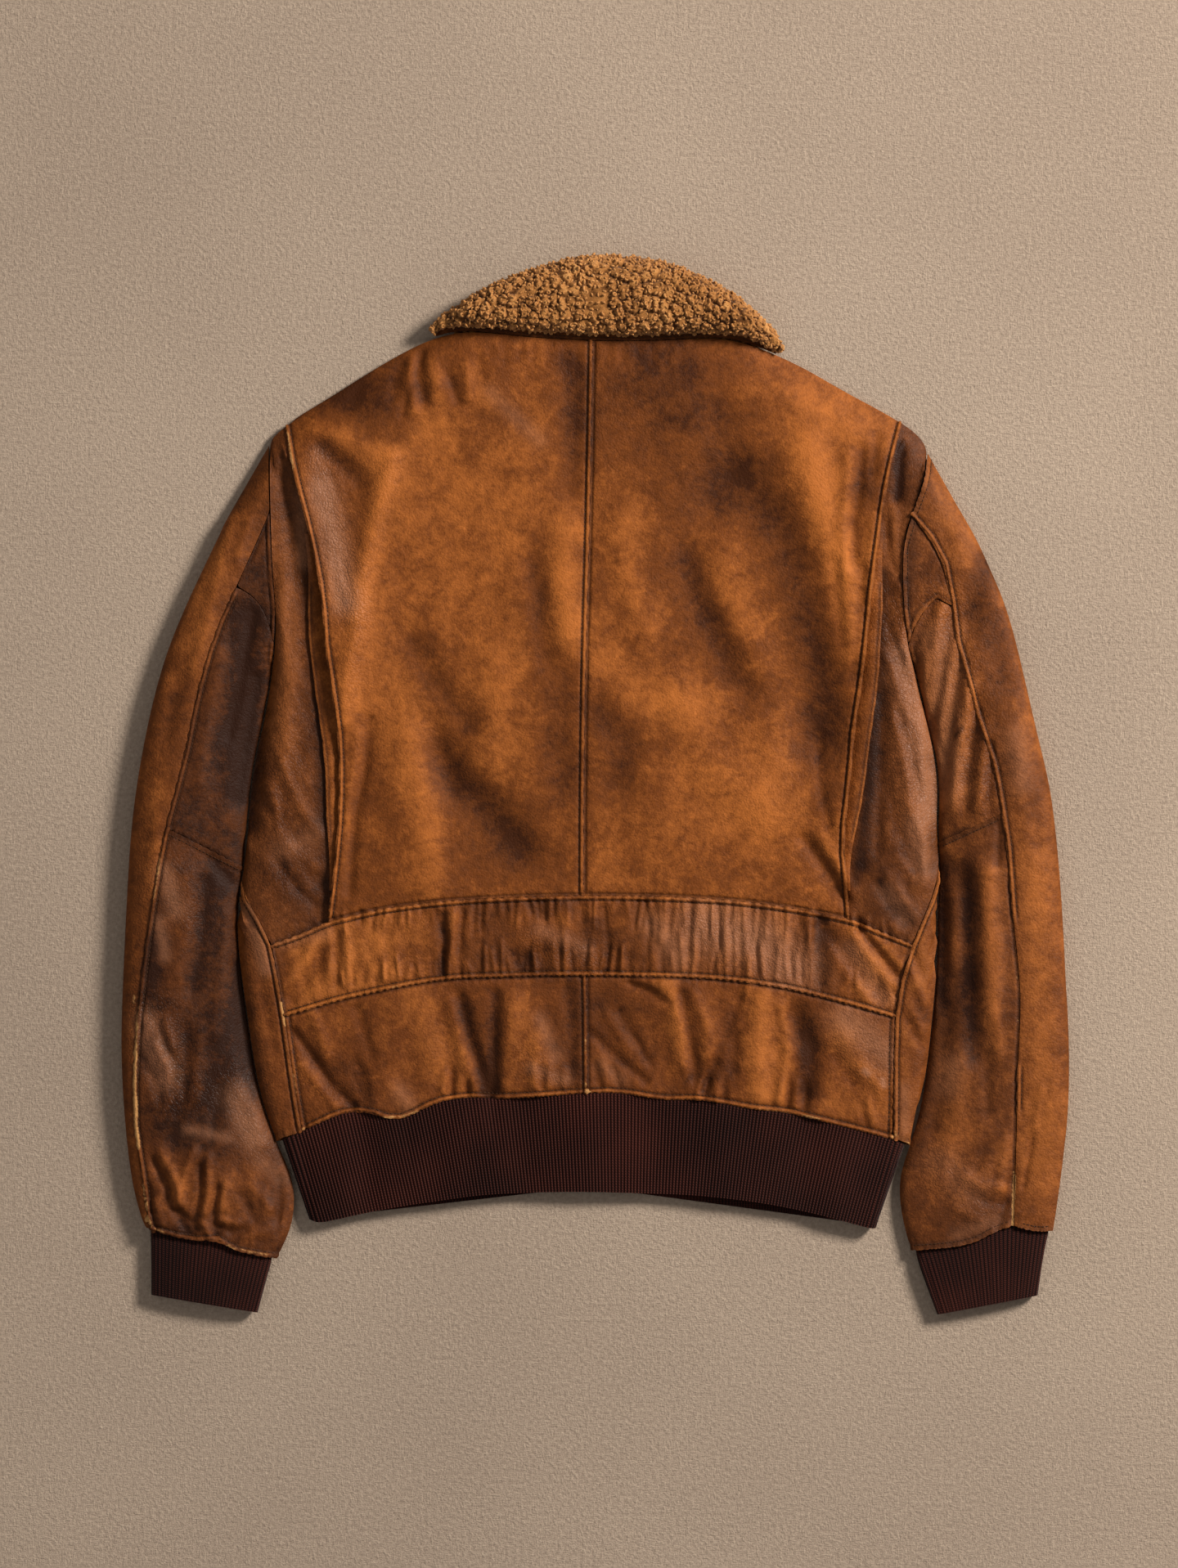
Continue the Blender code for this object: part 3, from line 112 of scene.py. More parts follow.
# Floor
# A plain pale surface that the jacket lies on, with the fine tooth of painted cloth.
class Value:
    """A number or a link in a material. Arithmetic on it adds Math nodes."""

    def __init__(self, finish, socket):
        self.finish, self.socket = finish, socket

    def maths(self, operation, *others):
        return self.finish.node("Math", {"operation": operation}, dict(enumerate((self, *others))))

    def __add__(self, other):
        return self.maths("ADD", other)

    def __mul__(self, other):
        return self.maths("MULTIPLY", other)

    def __sub__(self, other):
        return self.maths("SUBTRACT", other)

    def __rsub__(self, other):
        return (self * -1.0).maths("ADD", other)

    __radd__ = __add__
    __rmul__ = __mul__

    def sine(self):
        return self.maths("SINE")

    def fraction(self):
        return self.maths("FRACT")

    def size(self):
        return self.maths("ABSOLUTE")

    def step(self, low, high):
        """0 below low, 1 above high, and a smooth rise between."""
        settings = {"interpolation_type": "SMOOTHSTEP"}
        return self.finish.node("MapRange", settings, {"Value": self, "From Min": low, "From Max": high})


class Finish:
    """A material in the making, with what is the same all over it set on the shader itself."""

    def __init__(self, name, **fixed):
        self.material = bpy.data.materials.new(name)
        self.material.use_nodes = True
        self.tree = self.material.node_tree
        self.shader = self.tree.nodes["Principled BSDF"]
        for socket, value in fixed.items():
            self.shader.inputs[socket.replace("_", " ")].default_value = value

    def node(self, kind, settings=None, values=None, out=0):
        made = self.tree.nodes.new("ShaderNode" + kind)
        for setting, value in (settings or {}).items():
            if setting == "stops":
                ramp = made.color_ramp
                while len(ramp.elements) < len(value):
                    ramp.elements.new(0.5)
                for element, (place, colour) in zip(ramp.elements, value):
                    element.position, element.color = place, (*colour, 1.0)
            else:
                setattr(made, setting, value)
        for socket, value in (values or {}).items():
            if isinstance(value, Value):
                self.tree.links.new(value.socket, made.inputs[socket])
            else:
                made.inputs[socket].default_value = value
        return Value(self, made.outputs[out])

    def place(self):
        return self.node("TexCoord", out="Object")

    def attribute(self, name):
        return self.node("Attribute", {"attribute_name": name}, out="Fac")

    def stretched(self, scale):
        """Object coordinates, scaled along each axis."""
        return self.node("Mapping", {"vector_type": "POINT"}, {"Vector": self.place(), "Scale": scale})

    def noise(self, scale, detail=3.0, roughness=0.5, distortion=0.0, vector=None):
        values = {
            "Vector": vector or self.place(), "Scale": scale, "Detail": detail,
            "Roughness": roughness, "Distortion": distortion,
        }
        return self.node("TexNoise", {}, values)

    def cells(self, scale, feature="F1"):
        return self.node("TexVoronoi", {"feature": feature}, {"Vector": self.place(), "Scale": scale})

    def ramp(self, factor, stops):
        return self.node("ValToRGB", {"stops": stops}, {"Fac": factor})

    def mixed(self, share, first, second):
        """One colour over another, by a share from 0 to 1."""
        colours = [value if isinstance(value, Value) else (*value, 1.0) for value in (first, second)]
        values = {"Factor": share, 6: colours[0], 7: colours[1]}
        return self.node("Mix", {"data_type": "RGBA", "clamp_factor": True}, values, out=2)

    def bump(self, height, distance, strength=1.0):
        return self.node("Bump", {}, {"Height": height, "Distance": distance, "Strength": strength})

    def wear(self, **links):
        """Feeds the shader's own sockets."""
        for socket, value in links.items():
            self.tree.links.new(value.socket, self.shader.inputs[socket.replace("_", " ")])
        return self.material


FLOOR_COLOUR = (0.505, 0.386, 0.290)
FLOOR_SHADE = (0.325, 0.243, 0.182)
bpy.ops.mesh.primitive_plane_add(size=6.0, location=(0, 0, -0.0003))
floor = bpy.context.object
floor.name = "floor"
cloth = Finish("floor_cloth", Roughness=0.95, Specular_IOR_Level=0.1)
tooth = cloth.noise(330.0, 5.0, 0.75)
cloud = cloth.noise(3.0, 4.0) * 0.25 + tooth * 0.75
across = cloth.noise(1.0, 2.0, vector=cloth.stretched((900, 260, 1)))
along = cloth.noise(1.0, 2.0, vector=cloth.stretched((260, 900, 1)))
floor.data.materials.append(
    cloth.wear(
        Base_Color=cloth.mixed(cloud.step(0.30, 0.70), FLOOR_SHADE, FLOOR_COLOUR),
        Normal=cloth.bump(across + along + tooth * 3.0, 0.0011, 0.55),
    )
)


# Upper back
# Two panels of horsehide, sewn down the middle of the back. The seam is folded to the left and
# stitched flat, and the outer edge of each panel is turned under and stitched as a pleat.
SHARP = math.radians(55)
RIM_BEND = math.radians(28)
CORNER = math.radians(40)
RIM_WIDTH = 0.0027
RAY_GAP = 0.0004
MOST_CUTS = 5
FINE = 0.00165
UPPER_LAYER = 0.0045
UPPER_BLEND = 0.0050
SEAM_REACH = 0.012
SEAM_STEP = 0.001
SEAM_PUCKER = 0.00022
PUCKER_LENGTH = 0.0071
# Strength of the painted shade in a seam's furrow and along its edge.
SEAM_SHADE = 0.75
STITCH_PITCH = 0.0031
STITCH_SIZE = (0.0013, 0.00046, 0.00036)
STITCH_INSIDE = 0.0032
STITCH_PROUD = 0.00006
STITCH_DROP = Vector((0, 0, 0.012))


def only(thing):
    """Selects this object alone."""
    bpy.ops.object.select_all(action="DESELECT")
    thing.select_set(True)
    bpy.context.view_layer.objects.active = thing


def smooth(value):
    value = np.clip(value, 0, 1)
    return value * value * (3 - 2 * value)


def strokes(spots, marks):
    """Soft brush strokes, summed at each spot. A mark is (half width, strength, spot, spot, ...)."""
    total = np.zeros(len(spots))
    for half_width, strength, *line in marks:
        line = np.array(line, float)
        low, high = line.min(0) - 3 * half_width, line.max(0) + 3 * half_width
        near = np.where(((spots > low) & (spots < high)).all(1))[0]
        off = np.full(len(near), np.inf)
        for start, end in zip(line, line[1:]):
            way = end - start
            share = np.clip((spots[near] - start) @ way / max(way @ way, 1e-9), 0, 1)
            off = np.minimum(off, np.linalg.norm(spots[near] - start - share[:, None] * way, axis=1))
        total[near] += strength * np.exp(-((off / half_width) ** 2))
    return total


def lumps(spots, size, turn=0.0, stretch=1.0, seed=0.0, ridged=False):
    """Smooth noise at each spot, with lumps of about that many photo pixels, longer along an angle."""
    angle = math.radians(turn)
    along = (spots @ [math.cos(angle), math.sin(angle)]) / (size * stretch)
    across = (spots @ [-math.sin(angle), math.cos(angle)]) / size
    values = np.array([noise.noise((a, b, seed)) for a, b in zip(along.tolist(), across.tolist())])
    return 1 - 2.6 * np.abs(values) if ridged else values


def close(line, gap):
    """A line with points no further apart than a gap."""
    lengths = np.concatenate([[0], np.cumsum(np.linalg.norm(np.diff(line, axis=0), axis=1))])
    at = np.linspace(0, lengths[-1], max(2, math.ceil(lengths[-1] / gap) + 1))
    return np.column_stack([np.interp(at, lengths, line[:, k]) for k in range(3)])


class Panel:
    """A piece of cloth copied from its solid, in fine quads where it is seen, with its edges known."""

    def __init__(self, name, node, levels=2, fine=FINE):
        self.node = node
        self.piece = bpy.data.objects.new(name, frame["nodes"][node].data.copy())
        bpy.context.scene.collection.objects.link(self.piece)
        only(self.piece)
        bpy.ops.mesh.customdata_custom_splitnormals_clear()
        self.piece.data.materials.clear()
        bpy.ops.object.mode_set(mode="EDIT")
        bpy.ops.mesh.select_all(action="SELECT")
        bpy.ops.mesh.remove_doubles(threshold=0.00001)
        bpy.ops.mesh.tris_convert_to_quads(face_threshold=SHARP, shape_threshold=math.pi)
        bpy.ops.object.mode_set(mode="OBJECT")
        self.find_edges()
        self.refine(levels, fine)
        self.read()
        self.light = self.furrow = self.ridge = self.fold = 0.0

    def find_edges(self):
        """Creases the sharp edges, marks the faces seen from above, and keeps their rim as lines."""
        shell = bmesh.new()
        shell.from_mesh(self.piece.data)
        layers = shell.edges.layers.float
        crease = layers.get("crease_edge") or layers.new("crease_edge")
        tree = BVHTree.FromBMesh(shell)
        seen = set()
        for face in shell.faces:
            above = face.calc_center_median() + face.normal * RAY_GAP
            strip = min(edge.calc_length() for edge in face.edges) < RIM_WIDTH and self.node != "waistband"
            if face.normal.z > 0.05 and not strip and tree.ray_cast(above, (0, 0, 1))[0] is None:
                seen.add(face)
            face.material_index = 0 if face in seen else 1
        onwards = {}
        for edge in shell.edges:
            bend = edge.calc_face_angle(0.0) if len(edge.link_faces) == 2 else 0.0
            on_rim = bend > RIM_BEND and len(seen.intersection(edge.link_faces)) == 1
            if bend > SHARP or on_rim:
                edge[crease] = 1.0
            if on_rim:
                loop = next(loop for loop in edge.link_loops if loop.face in seen)
                onwards[loop.vert] = loop.link_loop_next.vert
        self.runs = []
        while onwards:
            ends = set(onwards.values())
            line = [next((vert for vert in onwards if vert not in ends), next(iter(onwards)))]
            while line[-1] in onwards:
                line.append(onwards.pop(line[-1]))
            self.cut(np.array([vert.co for vert in line]), line[0] is line[-1])
        shell.to_mesh(self.piece.data)
        shell.free()

    def cut(self, line, closed):
        """Cuts a rim line at its corners."""
        steps = np.diff(line, axis=0)
        steps /= np.maximum(np.linalg.norm(steps, axis=1), 1e-9)[:, None]
        turns = (steps[:-1] * steps[1:]).sum(1) < math.cos(CORNER)
        corners = [0, *(np.where(turns)[0] + 1), len(line) - 1]
        pieces = [line[start:end + 1] for start, end in zip(corners, corners[1:])]
        if closed and len(pieces) > 1 and steps[-1] @ steps[0] > math.cos(CORNER):
            pieces[0] = np.concatenate([pieces.pop()[:-1], pieces[0]])
        self.runs += pieces

    def refine(self, levels, fine):
        """Subdivides the whole piece, and the seen faces again until they are fine."""
        if levels:
            finer = self.piece.modifiers.new("finer", "SUBSURF")
            finer.levels = finer.render_levels = levels
            bpy.ops.object.modifier_apply(modifier=finer.name)
        mesh = self.piece.data
        bpy.context.tool_settings.mesh_select_mode = (False, False, True)
        for kind in (mesh.vertices, mesh.edges):
            kind.foreach_set("select", [False] * len(kind))
        for face in mesh.polygons:
            face.select = face.material_index == 0
        shown = [face.area for face in mesh.polygons if face.select]
        cuts = min(MOST_CUTS, round(math.sqrt(sum(shown) / max(1, len(shown))) / fine) - 1)
        if cuts < 1:
            return
        bpy.ops.object.mode_set(mode="EDIT")
        bpy.ops.mesh.subdivide(number_cuts=cuts)
        bpy.ops.mesh.select_less()
        bpy.ops.mesh.vertices_smooth(factor=0.5, repeat=2)
        bpy.ops.object.mode_set(mode="OBJECT")

    def read(self):
        """The places and normals of all points, and which of them are seen."""
        mesh = self.piece.data
        count = len(mesh.vertices)
        self.points, self.normals = np.empty(count * 3), np.empty(count * 3)
        mesh.vertices.foreach_get("co", self.points)
        mesh.vertices.foreach_get("normal", self.normals)
        self.points, self.normals = self.points.reshape(-1, 3), self.normals.reshape(-1, 3)
        if not hasattr(self, "seen"):
            corners, index = np.empty(len(mesh.loops), int), np.empty(len(mesh.polygons), int)
            sizes = np.empty(len(mesh.polygons), int)
            mesh.loops.foreach_get("vertex_index", corners)
            mesh.polygons.foreach_get("material_index", index)
            mesh.polygons.foreach_get("loop_total", sizes)
            self.seen = np.zeros(count, bool)
            self.seen[corners[np.repeat(index == 0, sizes)]] = True

    def spots(self):
        """Where each point is on the photo."""
        return np.column_stack(
            [self.points[:, 0] / PIXEL + MIDDLE_PIXEL[0], MIDDLE_PIXEL[1] - self.points[:, 1] / PIXEL]
        )

    def write(self):
        self.points[:, 2] = np.maximum(self.points[:, 2], 0.0)
        self.piece.data.vertices.foreach_set("co", self.points.ravel())
        self.piece.data.update()
        self.read()

    def relieve(self, relief):
        """Raises the upper layer by a relief at each spot, in millimetres, with its inner face."""
        share = smooth((self.points[:, 2] - UPPER_LAYER) / UPPER_BLEND)
        high = np.where(share > 0)[0]
        height = np.zeros(len(self.points))
        height[high] = relief(self.spots()[high])
        self.points[:, 2] += 0.001 * height * share
        self.fold = height
        self.write()

    def run_near(self, x, y):
        """The edge line that passes nearest a spot of the photo."""
        spot = np.array([(x - MIDDLE_PIXEL[0]) * PIXEL, (MIDDLE_PIXEL[1] - y) * PIXEL])
        gaps = [np.linalg.norm(close(run, 0.002)[:, :2] - spot, axis=1).min() for run in self.runs]
        return self.runs[gaps.index(min(gaps))]

    def seam(self, run, width=0.0024, rise=0.0009, furrow=0.0006, light=0.26, worn=0.0):
        """A folded seam edge: a ridge along the run, and a furrow inside it where the stitches pull. It also
        paints a highlight along the ridge and shade in the furrow and at the edge.
        """
        fine = close(run, SEAM_STEP)
        tree = KDTree(len(fine))
        for k, point in enumerate(fine):
            tree.insert((point[0], point[1], 0), k)
        tree.balance()
        low, high = fine.min(0)[:2] - SEAM_REACH, fine.max(0)[:2] + SEAM_REACH
        flat = self.points[:, :2]
        near = np.where(self.seen & (flat > low).all(1) & (flat < high).all(1))[0]
        found = [tree.find((x, y, 0)) for x, y in flat[near].tolist()]
        off = np.array([distance for _, _, distance in found])
        along = np.array([index for _, index, _ in found]) * SEAM_STEP
        near, off, along = near[off < SEAM_REACH], off[off < SEAM_REACH], along[off < SEAM_REACH]
        ridge = rise * smooth(off / 0.0008 + 0.35) * smooth((width - off) / 0.0011 + 0.5)
        trough = furrow * np.exp(-(((off - width - 0.0006) / 0.0012) ** 2))
        wave = SEAM_PUCKER * np.sin(along * 2 * math.pi / PUCKER_LENGTH + 2.4 * np.sin(along * 90))
        wave *= np.exp(-(((off - width) / 0.0045) ** 2))
        self.points[near] += self.normals[near] * (ridge - trough + wave)[:, None]
        self.write()
        # Painted shade in the furrow and at the seam's edge (furrow field), a painted highlight along the
        # ridge (light field), and real wear on the ridge (ridge field).
        seam_shade = np.exp(-(((off - width - 0.0006) / 0.0010) ** 2)) + np.exp(-((off / 0.0006) ** 2))
        for name, value in (
            ("light", light * np.exp(-(((off - 0.45 * width) / (0.5 * width)) ** 2))),
            ("ridge", worn * np.exp(-(((off - 0.4 * width) / (0.5 * width)) ** 2))),
            ("furrow", SEAM_SHADE * seam_shade),
        ):
            field = np.broadcast_to(getattr(self, name), len(self.points)).copy()
            field[near] = np.maximum(field[near], value)
            setattr(self, name, field)

    def paint(self, name, values):
        mesh = self.piece.data
        layer = mesh.attributes.get(name) or mesh.attributes.new(name, "FLOAT", "POINT")
        layer.data.foreach_set("value", np.broadcast_to(values, len(mesh.vertices)).astype(np.float32))

    def finish(self, material, slot, flat=None, area=None, held="laid"):
        mesh = self.piece.data
        mesh.materials.clear()
        mesh.materials.append(material)
        mesh.polygons.foreach_set("material_index", np.zeros(len(mesh.polygons), np.int32))
        only(self.piece)
        bpy.ops.object.shade_smooth_by_angle(angle=SHARP)
        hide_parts(self.node)
        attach(self.piece, "root")


def thread_finish():
    thread = Finish("sewing_thread", Roughness=0.85, Specular_IOR_Level=0.2)
    tint = thread.noise(60.0, 2.0)
    return thread.wear(Base_Color=thread.mixed(tint, (0.028, 0.010, 0.004), (0.070, 0.026, 0.009)))


THREAD = thread_finish()


def taken(shape):
    """The points and faces of a finished small shape, whose object is then removed."""
    points = np.array([vert.co for vert in shape.data.vertices])
    faces = [tuple(face.vertices) for face in shape.data.polygons]
    bpy.data.objects.remove(shape)
    return points, faces


def one_stitch():
    """One short stitch of thread, lying along X."""
    bpy.ops.object.select_all(action="DESELECT")
    bpy.ops.mesh.primitive_uv_sphere_add(segments=5, ring_count=4, radius=1.0, rotation=(0, math.pi / 2, 0))
    stitch = bpy.context.object
    bpy.ops.object.transform_apply(location=False, rotation=True, scale=False)
    stitch.scale = STITCH_SIZE
    bpy.ops.object.transform_apply(location=False, rotation=False, scale=True)
    return taken(stitch)


STITCH = one_stitch()


def many(name, shape, frames):
    """One mesh of many copies of a shape, each put in its frame: a place and three directions."""
    shape_points, shape_faces = shape
    points = np.concatenate([place + shape_points @ axes for place, axes in frames])
    starts = [n * len(shape_points) for n in range(len(frames))]
    faces = [tuple(start + k for k in face) for start in starts for face in shape_faces]
    mesh = bpy.data.meshes.new(name)
    mesh.from_pydata(points.tolist(), [], faces)
    mesh.shade_smooth()
    made = bpy.data.objects.new(name, mesh)
    bpy.context.scene.collection.objects.link(made)
    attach(made, "root")
    return made


def sew(name, rows):
    """Rows of stitches. Each row is (panel, edge line, how far inside it)."""
    frames = []
    for panel, run, inside in rows:
        tree = BVHTree.FromObject(panel.piece, bpy.context.evaluated_depsgraph_get())
        fine = close(run, STITCH_PITCH)
        for start, end in zip(fine[1:-2], fine[2:-1]):
            along = Vector(end - start).normalized()
            middle = Vector((start + end) / 2)
            inwards = Vector((0, 0, 1)).cross(along).normalized()
            above = middle + inwards * inside + STITCH_DROP
            place, normal, _, _ = tree.ray_cast(above, -STITCH_DROP, 2 * STITCH_DROP.z)
            if place is None or normal.z < 0.15:
                continue
            across = normal.cross(along).normalized()
            axes = np.array([across.cross(normal), across, normal])
            frames.append((np.array(place + normal * STITCH_PROUD), axes))
    made = many(name, STITCH, frames)
    made.data.materials.append(THREAD)


def hide_finish(name, dark, middle, light, pale=(0.300, 0.125, 0.062), grain=1.0):
    """Worn horsehide: mottled by age, grained where it is polished, cream where it is rubbed through, with a
    painted sheen on its polished patches and near-black painted shade in seams and hollows.
    """
    hide = Finish(name, Specular_IOR_Level=0.13)
    clouds = hide.noise(13.0, 4.0, 0.6, 0.5)
    mottle = hide.noise(52.0, 6.0, 0.68, 0.4)
    speck = hide.noise(210.0, 4.0, 0.7)
    nap = hide.noise(760.0, 2.0, 0.6)
    scuff = hide.noise(150.0, 6.0, 0.75, 1.2)
    gloss = hide.attribute("gloss")
    cracks = 1.0 - hide.cells(330.0, "DISTANCE_TO_EDGE").step(0.0, 0.16)
    # The tone attribute holds the painted shade and highlight of folds and seams as well as the leather's own
    # patches.
    tone = hide.attribute("tone") + (clouds - 0.5) * 0.60 + (mottle - 0.5) * 1.00 + (speck - 0.5) * 0.70
    tone = tone + (nap - 0.5) * 0.28 - cracks * gloss * 0.10
    colour = hide.ramp(tone, [(0.0, dark), (0.5, middle), (1.0, light)])
    # Painted sheen: a pale pinkish brown where the leather is polished, standing in for the light's
    # reflection.
    colour = hide.mixed(hide.attribute("pale") * (mottle * 1.1 + speck * 0.7 - 0.05), colour, pale)
    # Painted shade: near black mixed in along the seams and in the shaded valleys and pleat gaps.
    colour = hide.mixed(hide.attribute("grime") * 0.80, colour, (0.020, 0.006, 0.002))
    rubbed = (hide.attribute("worn") + (scuff - 0.5) * 1.1).step(0.46, 0.74)
    colour = hide.mixed(rubbed, colour, (0.480, 0.235, 0.080))
    pebbles = hide.cells(600.0).step(0.0, 0.75)
    wrinkles = hide.noise(90.0, 6.0, 0.66, 0.9)
    height = pebbles * (gloss * 0.35 + 0.25) * grain + wrinkles * 1.9 + speck * 0.55 - cracks * gloss * 0.5
    return hide.wear(
        Base_Color=colour,
        Roughness=0.68 - gloss * 0.30 + (mottle - 0.5) * 0.25 + rubbed * 0.15,
        Normal=hide.bump(height, 0.0013, 0.42),
    )


# The folds of the laid body, as (half width, rise in millimetres, spots on the photo).
BACK_FOLDS = [
    (13, 2.3, (478, 563), (459, 636), (445, 695), (435, 775), (424, 827), (424, 882)),
    (7, -2.0, (454, 882), (445, 948), (435, 993), (428, 1090)), (8, 1.2, (438, 900), (425, 1000)),
    (16, -2.2, (530, 885), (538, 930), (552, 965)), (26, -2.8, (545, 930), (590, 985), (640, 1040)),
    (26, 2.2, (500, 900), (520, 990), (525, 1080)), (16, -1.6, (500, 780), (530, 830), (575, 885)),
    (22, 1.5, (600, 800), (610, 860), (590, 930)), (15, -2.0, (654, 690), (660, 740), (668, 805)),
    (20, -1.4, (690, 830), (680, 900), (690, 960)), (18, 1.7, (690, 640), (690, 700), (697, 780)),
    (10, -1.8, (393, 548), (415, 565), (440, 590)), (15, 1.8, (385, 522), (410, 530), (450, 556)),
    (20, -2.0, (838, 675), (850, 730), (880, 780), (915, 850)),
    (26, 2.0, (885, 680), (905, 760), (925, 810)),
    (32, -3.2, (900, 585), (955, 645), (985, 715), (1003, 800), (1000, 900)),
    (26, 3.0, (985, 550), (1008, 640), (1030, 715), (1040, 790)),
    (20, 1.4, (760, 640), (765, 700), (790, 770)),
    (22, -1.8, (735, 870), (765, 910), (757, 955)), (34, 2.0, (830, 850), (870, 930), (930, 990)),
    (8, -2.4, (982, 1025), (1010, 1065), (1033, 1100)), (8, 1.6, (1003, 1025), (1025, 1060), (1040, 1090)),
    (7, -1.9, (1053, 550), (1050, 600), (1042, 640), (1043, 690)),
    (8, 1.6, (1036, 560), (1030, 640), (1031, 700)),
    (7, -1.6, (1071, 535), (1066, 580)), (8, -1.6, (1020, 690), (1024, 740), (1030, 790)),
    (9, -1.6, (1054, 700), (1049, 760), (1045, 830)), (8, 1.5, (1067, 640), (1062, 730)),
    (26, -1.6, (880, 500), (890, 560), (870, 600)), (20, 1.2, (960, 480), (1000, 500), (1040, 520)),
    (16, -1.4, (700, 440), (702, 520), (700, 600)), (7, -1.5, (1000, 900), (1003, 960), (1012, 1010)),
    (9, 1.5, (528, 438), (535, 475)), (7, -2.2, (516, 432), (512, 458), (520, 492)),
    (6, -2.0, (545, 446), (553, 470), (560, 492)),
    (7, 1.5, (503, 440), (499, 470), (506, 502)), (8, -1.4, (488, 448), (482, 486)),
    (6, 1.2, (570, 450), (575, 486)),
    (5, -1.2, (500, 478), (492, 510)), (6, -0.9, (585, 440), (592, 470)),
    (10, -1.0, (440, 470), (430, 500)),
]
BACK_FOLDS += [
    (3.5, 0.22 if k % 2 else -0.28, (x, 424), (x - 2 + k % 3, 436 + k % 4 * 4))
    for k, x in enumerate(range(600, 840, 9))
]
SIDE_FOLDS = [
    (10, -1.6, (345, 1000), (372, 1050), (392, 1080)), (8, 1.6, (345, 930), (368, 985), (392, 1020)),
    (8, 1.6, (330, 960), (352, 1030), (385, 1062)), (6, -1.3, (335, 1045), (362, 1085), (385, 1105)),
    (12, 1.6, (345, 720), (352, 820), (350, 930)), (8, -1.5, (340, 560), (352, 620), (360, 700)),
    (13, -3.0, (316, 870), (308, 940), (304, 1010)), (9, -2.0, (334, 700), (332, 790), (322, 860)),
    (7, -2.2, (1101, 545), (1098, 580), (1096, 612)), (6, 1.5, (1092, 620), (1090, 680), (1097, 715)),
    (5, -1.7, (1083, 640), (1088, 680), (1098, 710)), (8, -2.0, (1078, 850), (1076, 950), (1072, 1040)),
    (9, 1.8, (1105, 780), (1122, 860), (1130, 950)), (5, -1.4, (1086, 770), (1102, 810), (1116, 850)),
    (5, 1.3, (1080, 800), (1095, 840), (1108, 880)), (6, 1.5, (1092, 880), (1104, 930), (1110, 980)),
    (6, -1.5, (1098, 870), (1114, 920), (1124, 975)), (8, -1.6, (1085, 960), (1100, 1020), (1120, 1060)),
    (9, 1.6, (1112, 990), (1130, 1030), (1128, 1080)), (7, -1.6, (1070, 1080), (1090, 1110), (1110, 1130)),
    (6, 1.3, (1085, 1070), (1105, 1100), (1118, 1120)), (9, -2.6, (1134, 930), (1142, 990), (1140, 1060)),
]
LOWER_FOLDS = [
    (6, -2.4, (361, 1262), (385, 1295), (408, 1328), (432, 1350)),
    (8, 1.5, (380, 1235), (392, 1262), (400, 1290)),
    (6, 1.3, (370, 1300), (392, 1330), (412, 1352)), (7, -1.4, (436, 1232), (444, 1255), (455, 1290)),
    (10, -1.6, (440, 1305), (446, 1335)), (11, 1.6, (480, 1330), (496, 1348)),
    (20, 1.6, (520, 1225), (530, 1290)),
    (9, -3.0, (563, 1222), (575, 1270), (590, 1315), (597, 1338)),
    (9, 1.9, (552, 1225), (562, 1275), (574, 1318)),
    (8, -2.4, (606, 1215), (604, 1270), (605, 1330)), (15, 2.2, (628, 1225), (622, 1280), (618, 1325)),
    (12, 1.5, (655, 1250), (660, 1300)), (9, -1.4, (694, 1210), (700, 1260), (697, 1300)),
    (5, 1.3, (545, 1312), (541, 1334)), (4, -1.4, (553, 1308), (552, 1335)),
    (5, 1.2, (562, 1318), (562, 1336)),
    (4, -1.3, (571, 1316), (572, 1335)), (5, 1.2, (580, 1320), (582, 1335)),
    (6, 1.4, (652, 1305), (654, 1328)),
    (5, 1.3, (672, 1300), (670, 1326)), (5, 1.1, (690, 1308), (689, 1326)),
    (5, -1.2, (662, 1305), (663, 1328)),
    (12, 2.1, (815, 1203), (828, 1242), (834, 1300)), (7, -2.3, (832, 1215), (842, 1260), (850, 1318)),
    (9, 1.7, (848, 1215), (866, 1255), (862, 1290)),
    (6, -2.4, (906, 1222), (885, 1275), (866, 1318), (858, 1332)),
    (6, 1.8, (915, 1205), (892, 1260), (880, 1290)), (15, 2.2, (930, 1215), (926, 1280), (930, 1340)),
    (8, -1.8, (898, 1270), (895, 1310)), (8, 1.9, (955, 1230), (962, 1285), (952, 1342)),
    (14, -3.0, (972, 1240), (992, 1285), (985, 1335)), (5, -1.8, (722, 1262), (752, 1290), (790, 1322)),
    (5, -1.5, (757, 1236), (776, 1270), (795, 1300)), (6, 1.4, (742, 1240), (768, 1282)),
    (5, -1.7, (770, 1202), (795, 1212), (818, 1228)), (7, 1.4, (780, 1196), (806, 1204)),
    (4, 1.4, (856, 1322), (852, 1340)), (4, -1.6, (866, 1320), (863, 1340)),
    (4, 1.4, (876, 1322), (875, 1342)),
    (4, -1.5, (886, 1320), (885, 1343)), (5, 1.3, (955, 1322), (950, 1350)),
    (4, -1.6, (964, 1322), (962, 1352)),
    (5, 1.4, (974, 1325), (972, 1352)), (5, -1.7, (985, 1325), (982, 1354)),
    (5, 1.0, (1060, 1345), (1068, 1375)),
    (4, -0.9, (1052, 1350), (1058, 1376)), (10, 1.4, (1030, 1265), (1050, 1300), (1075, 1330)),
    (6, -1.0, (1020, 1290), (1040, 1322)), (5, -1.3, (726, 1300), (732, 1326)),
    (5, 1.2, (736, 1296), (742, 1322)),
    (4, -1.1, (750, 1305), (756, 1326)), (22, -1.3, (730, 1225), (745, 1255)),
]


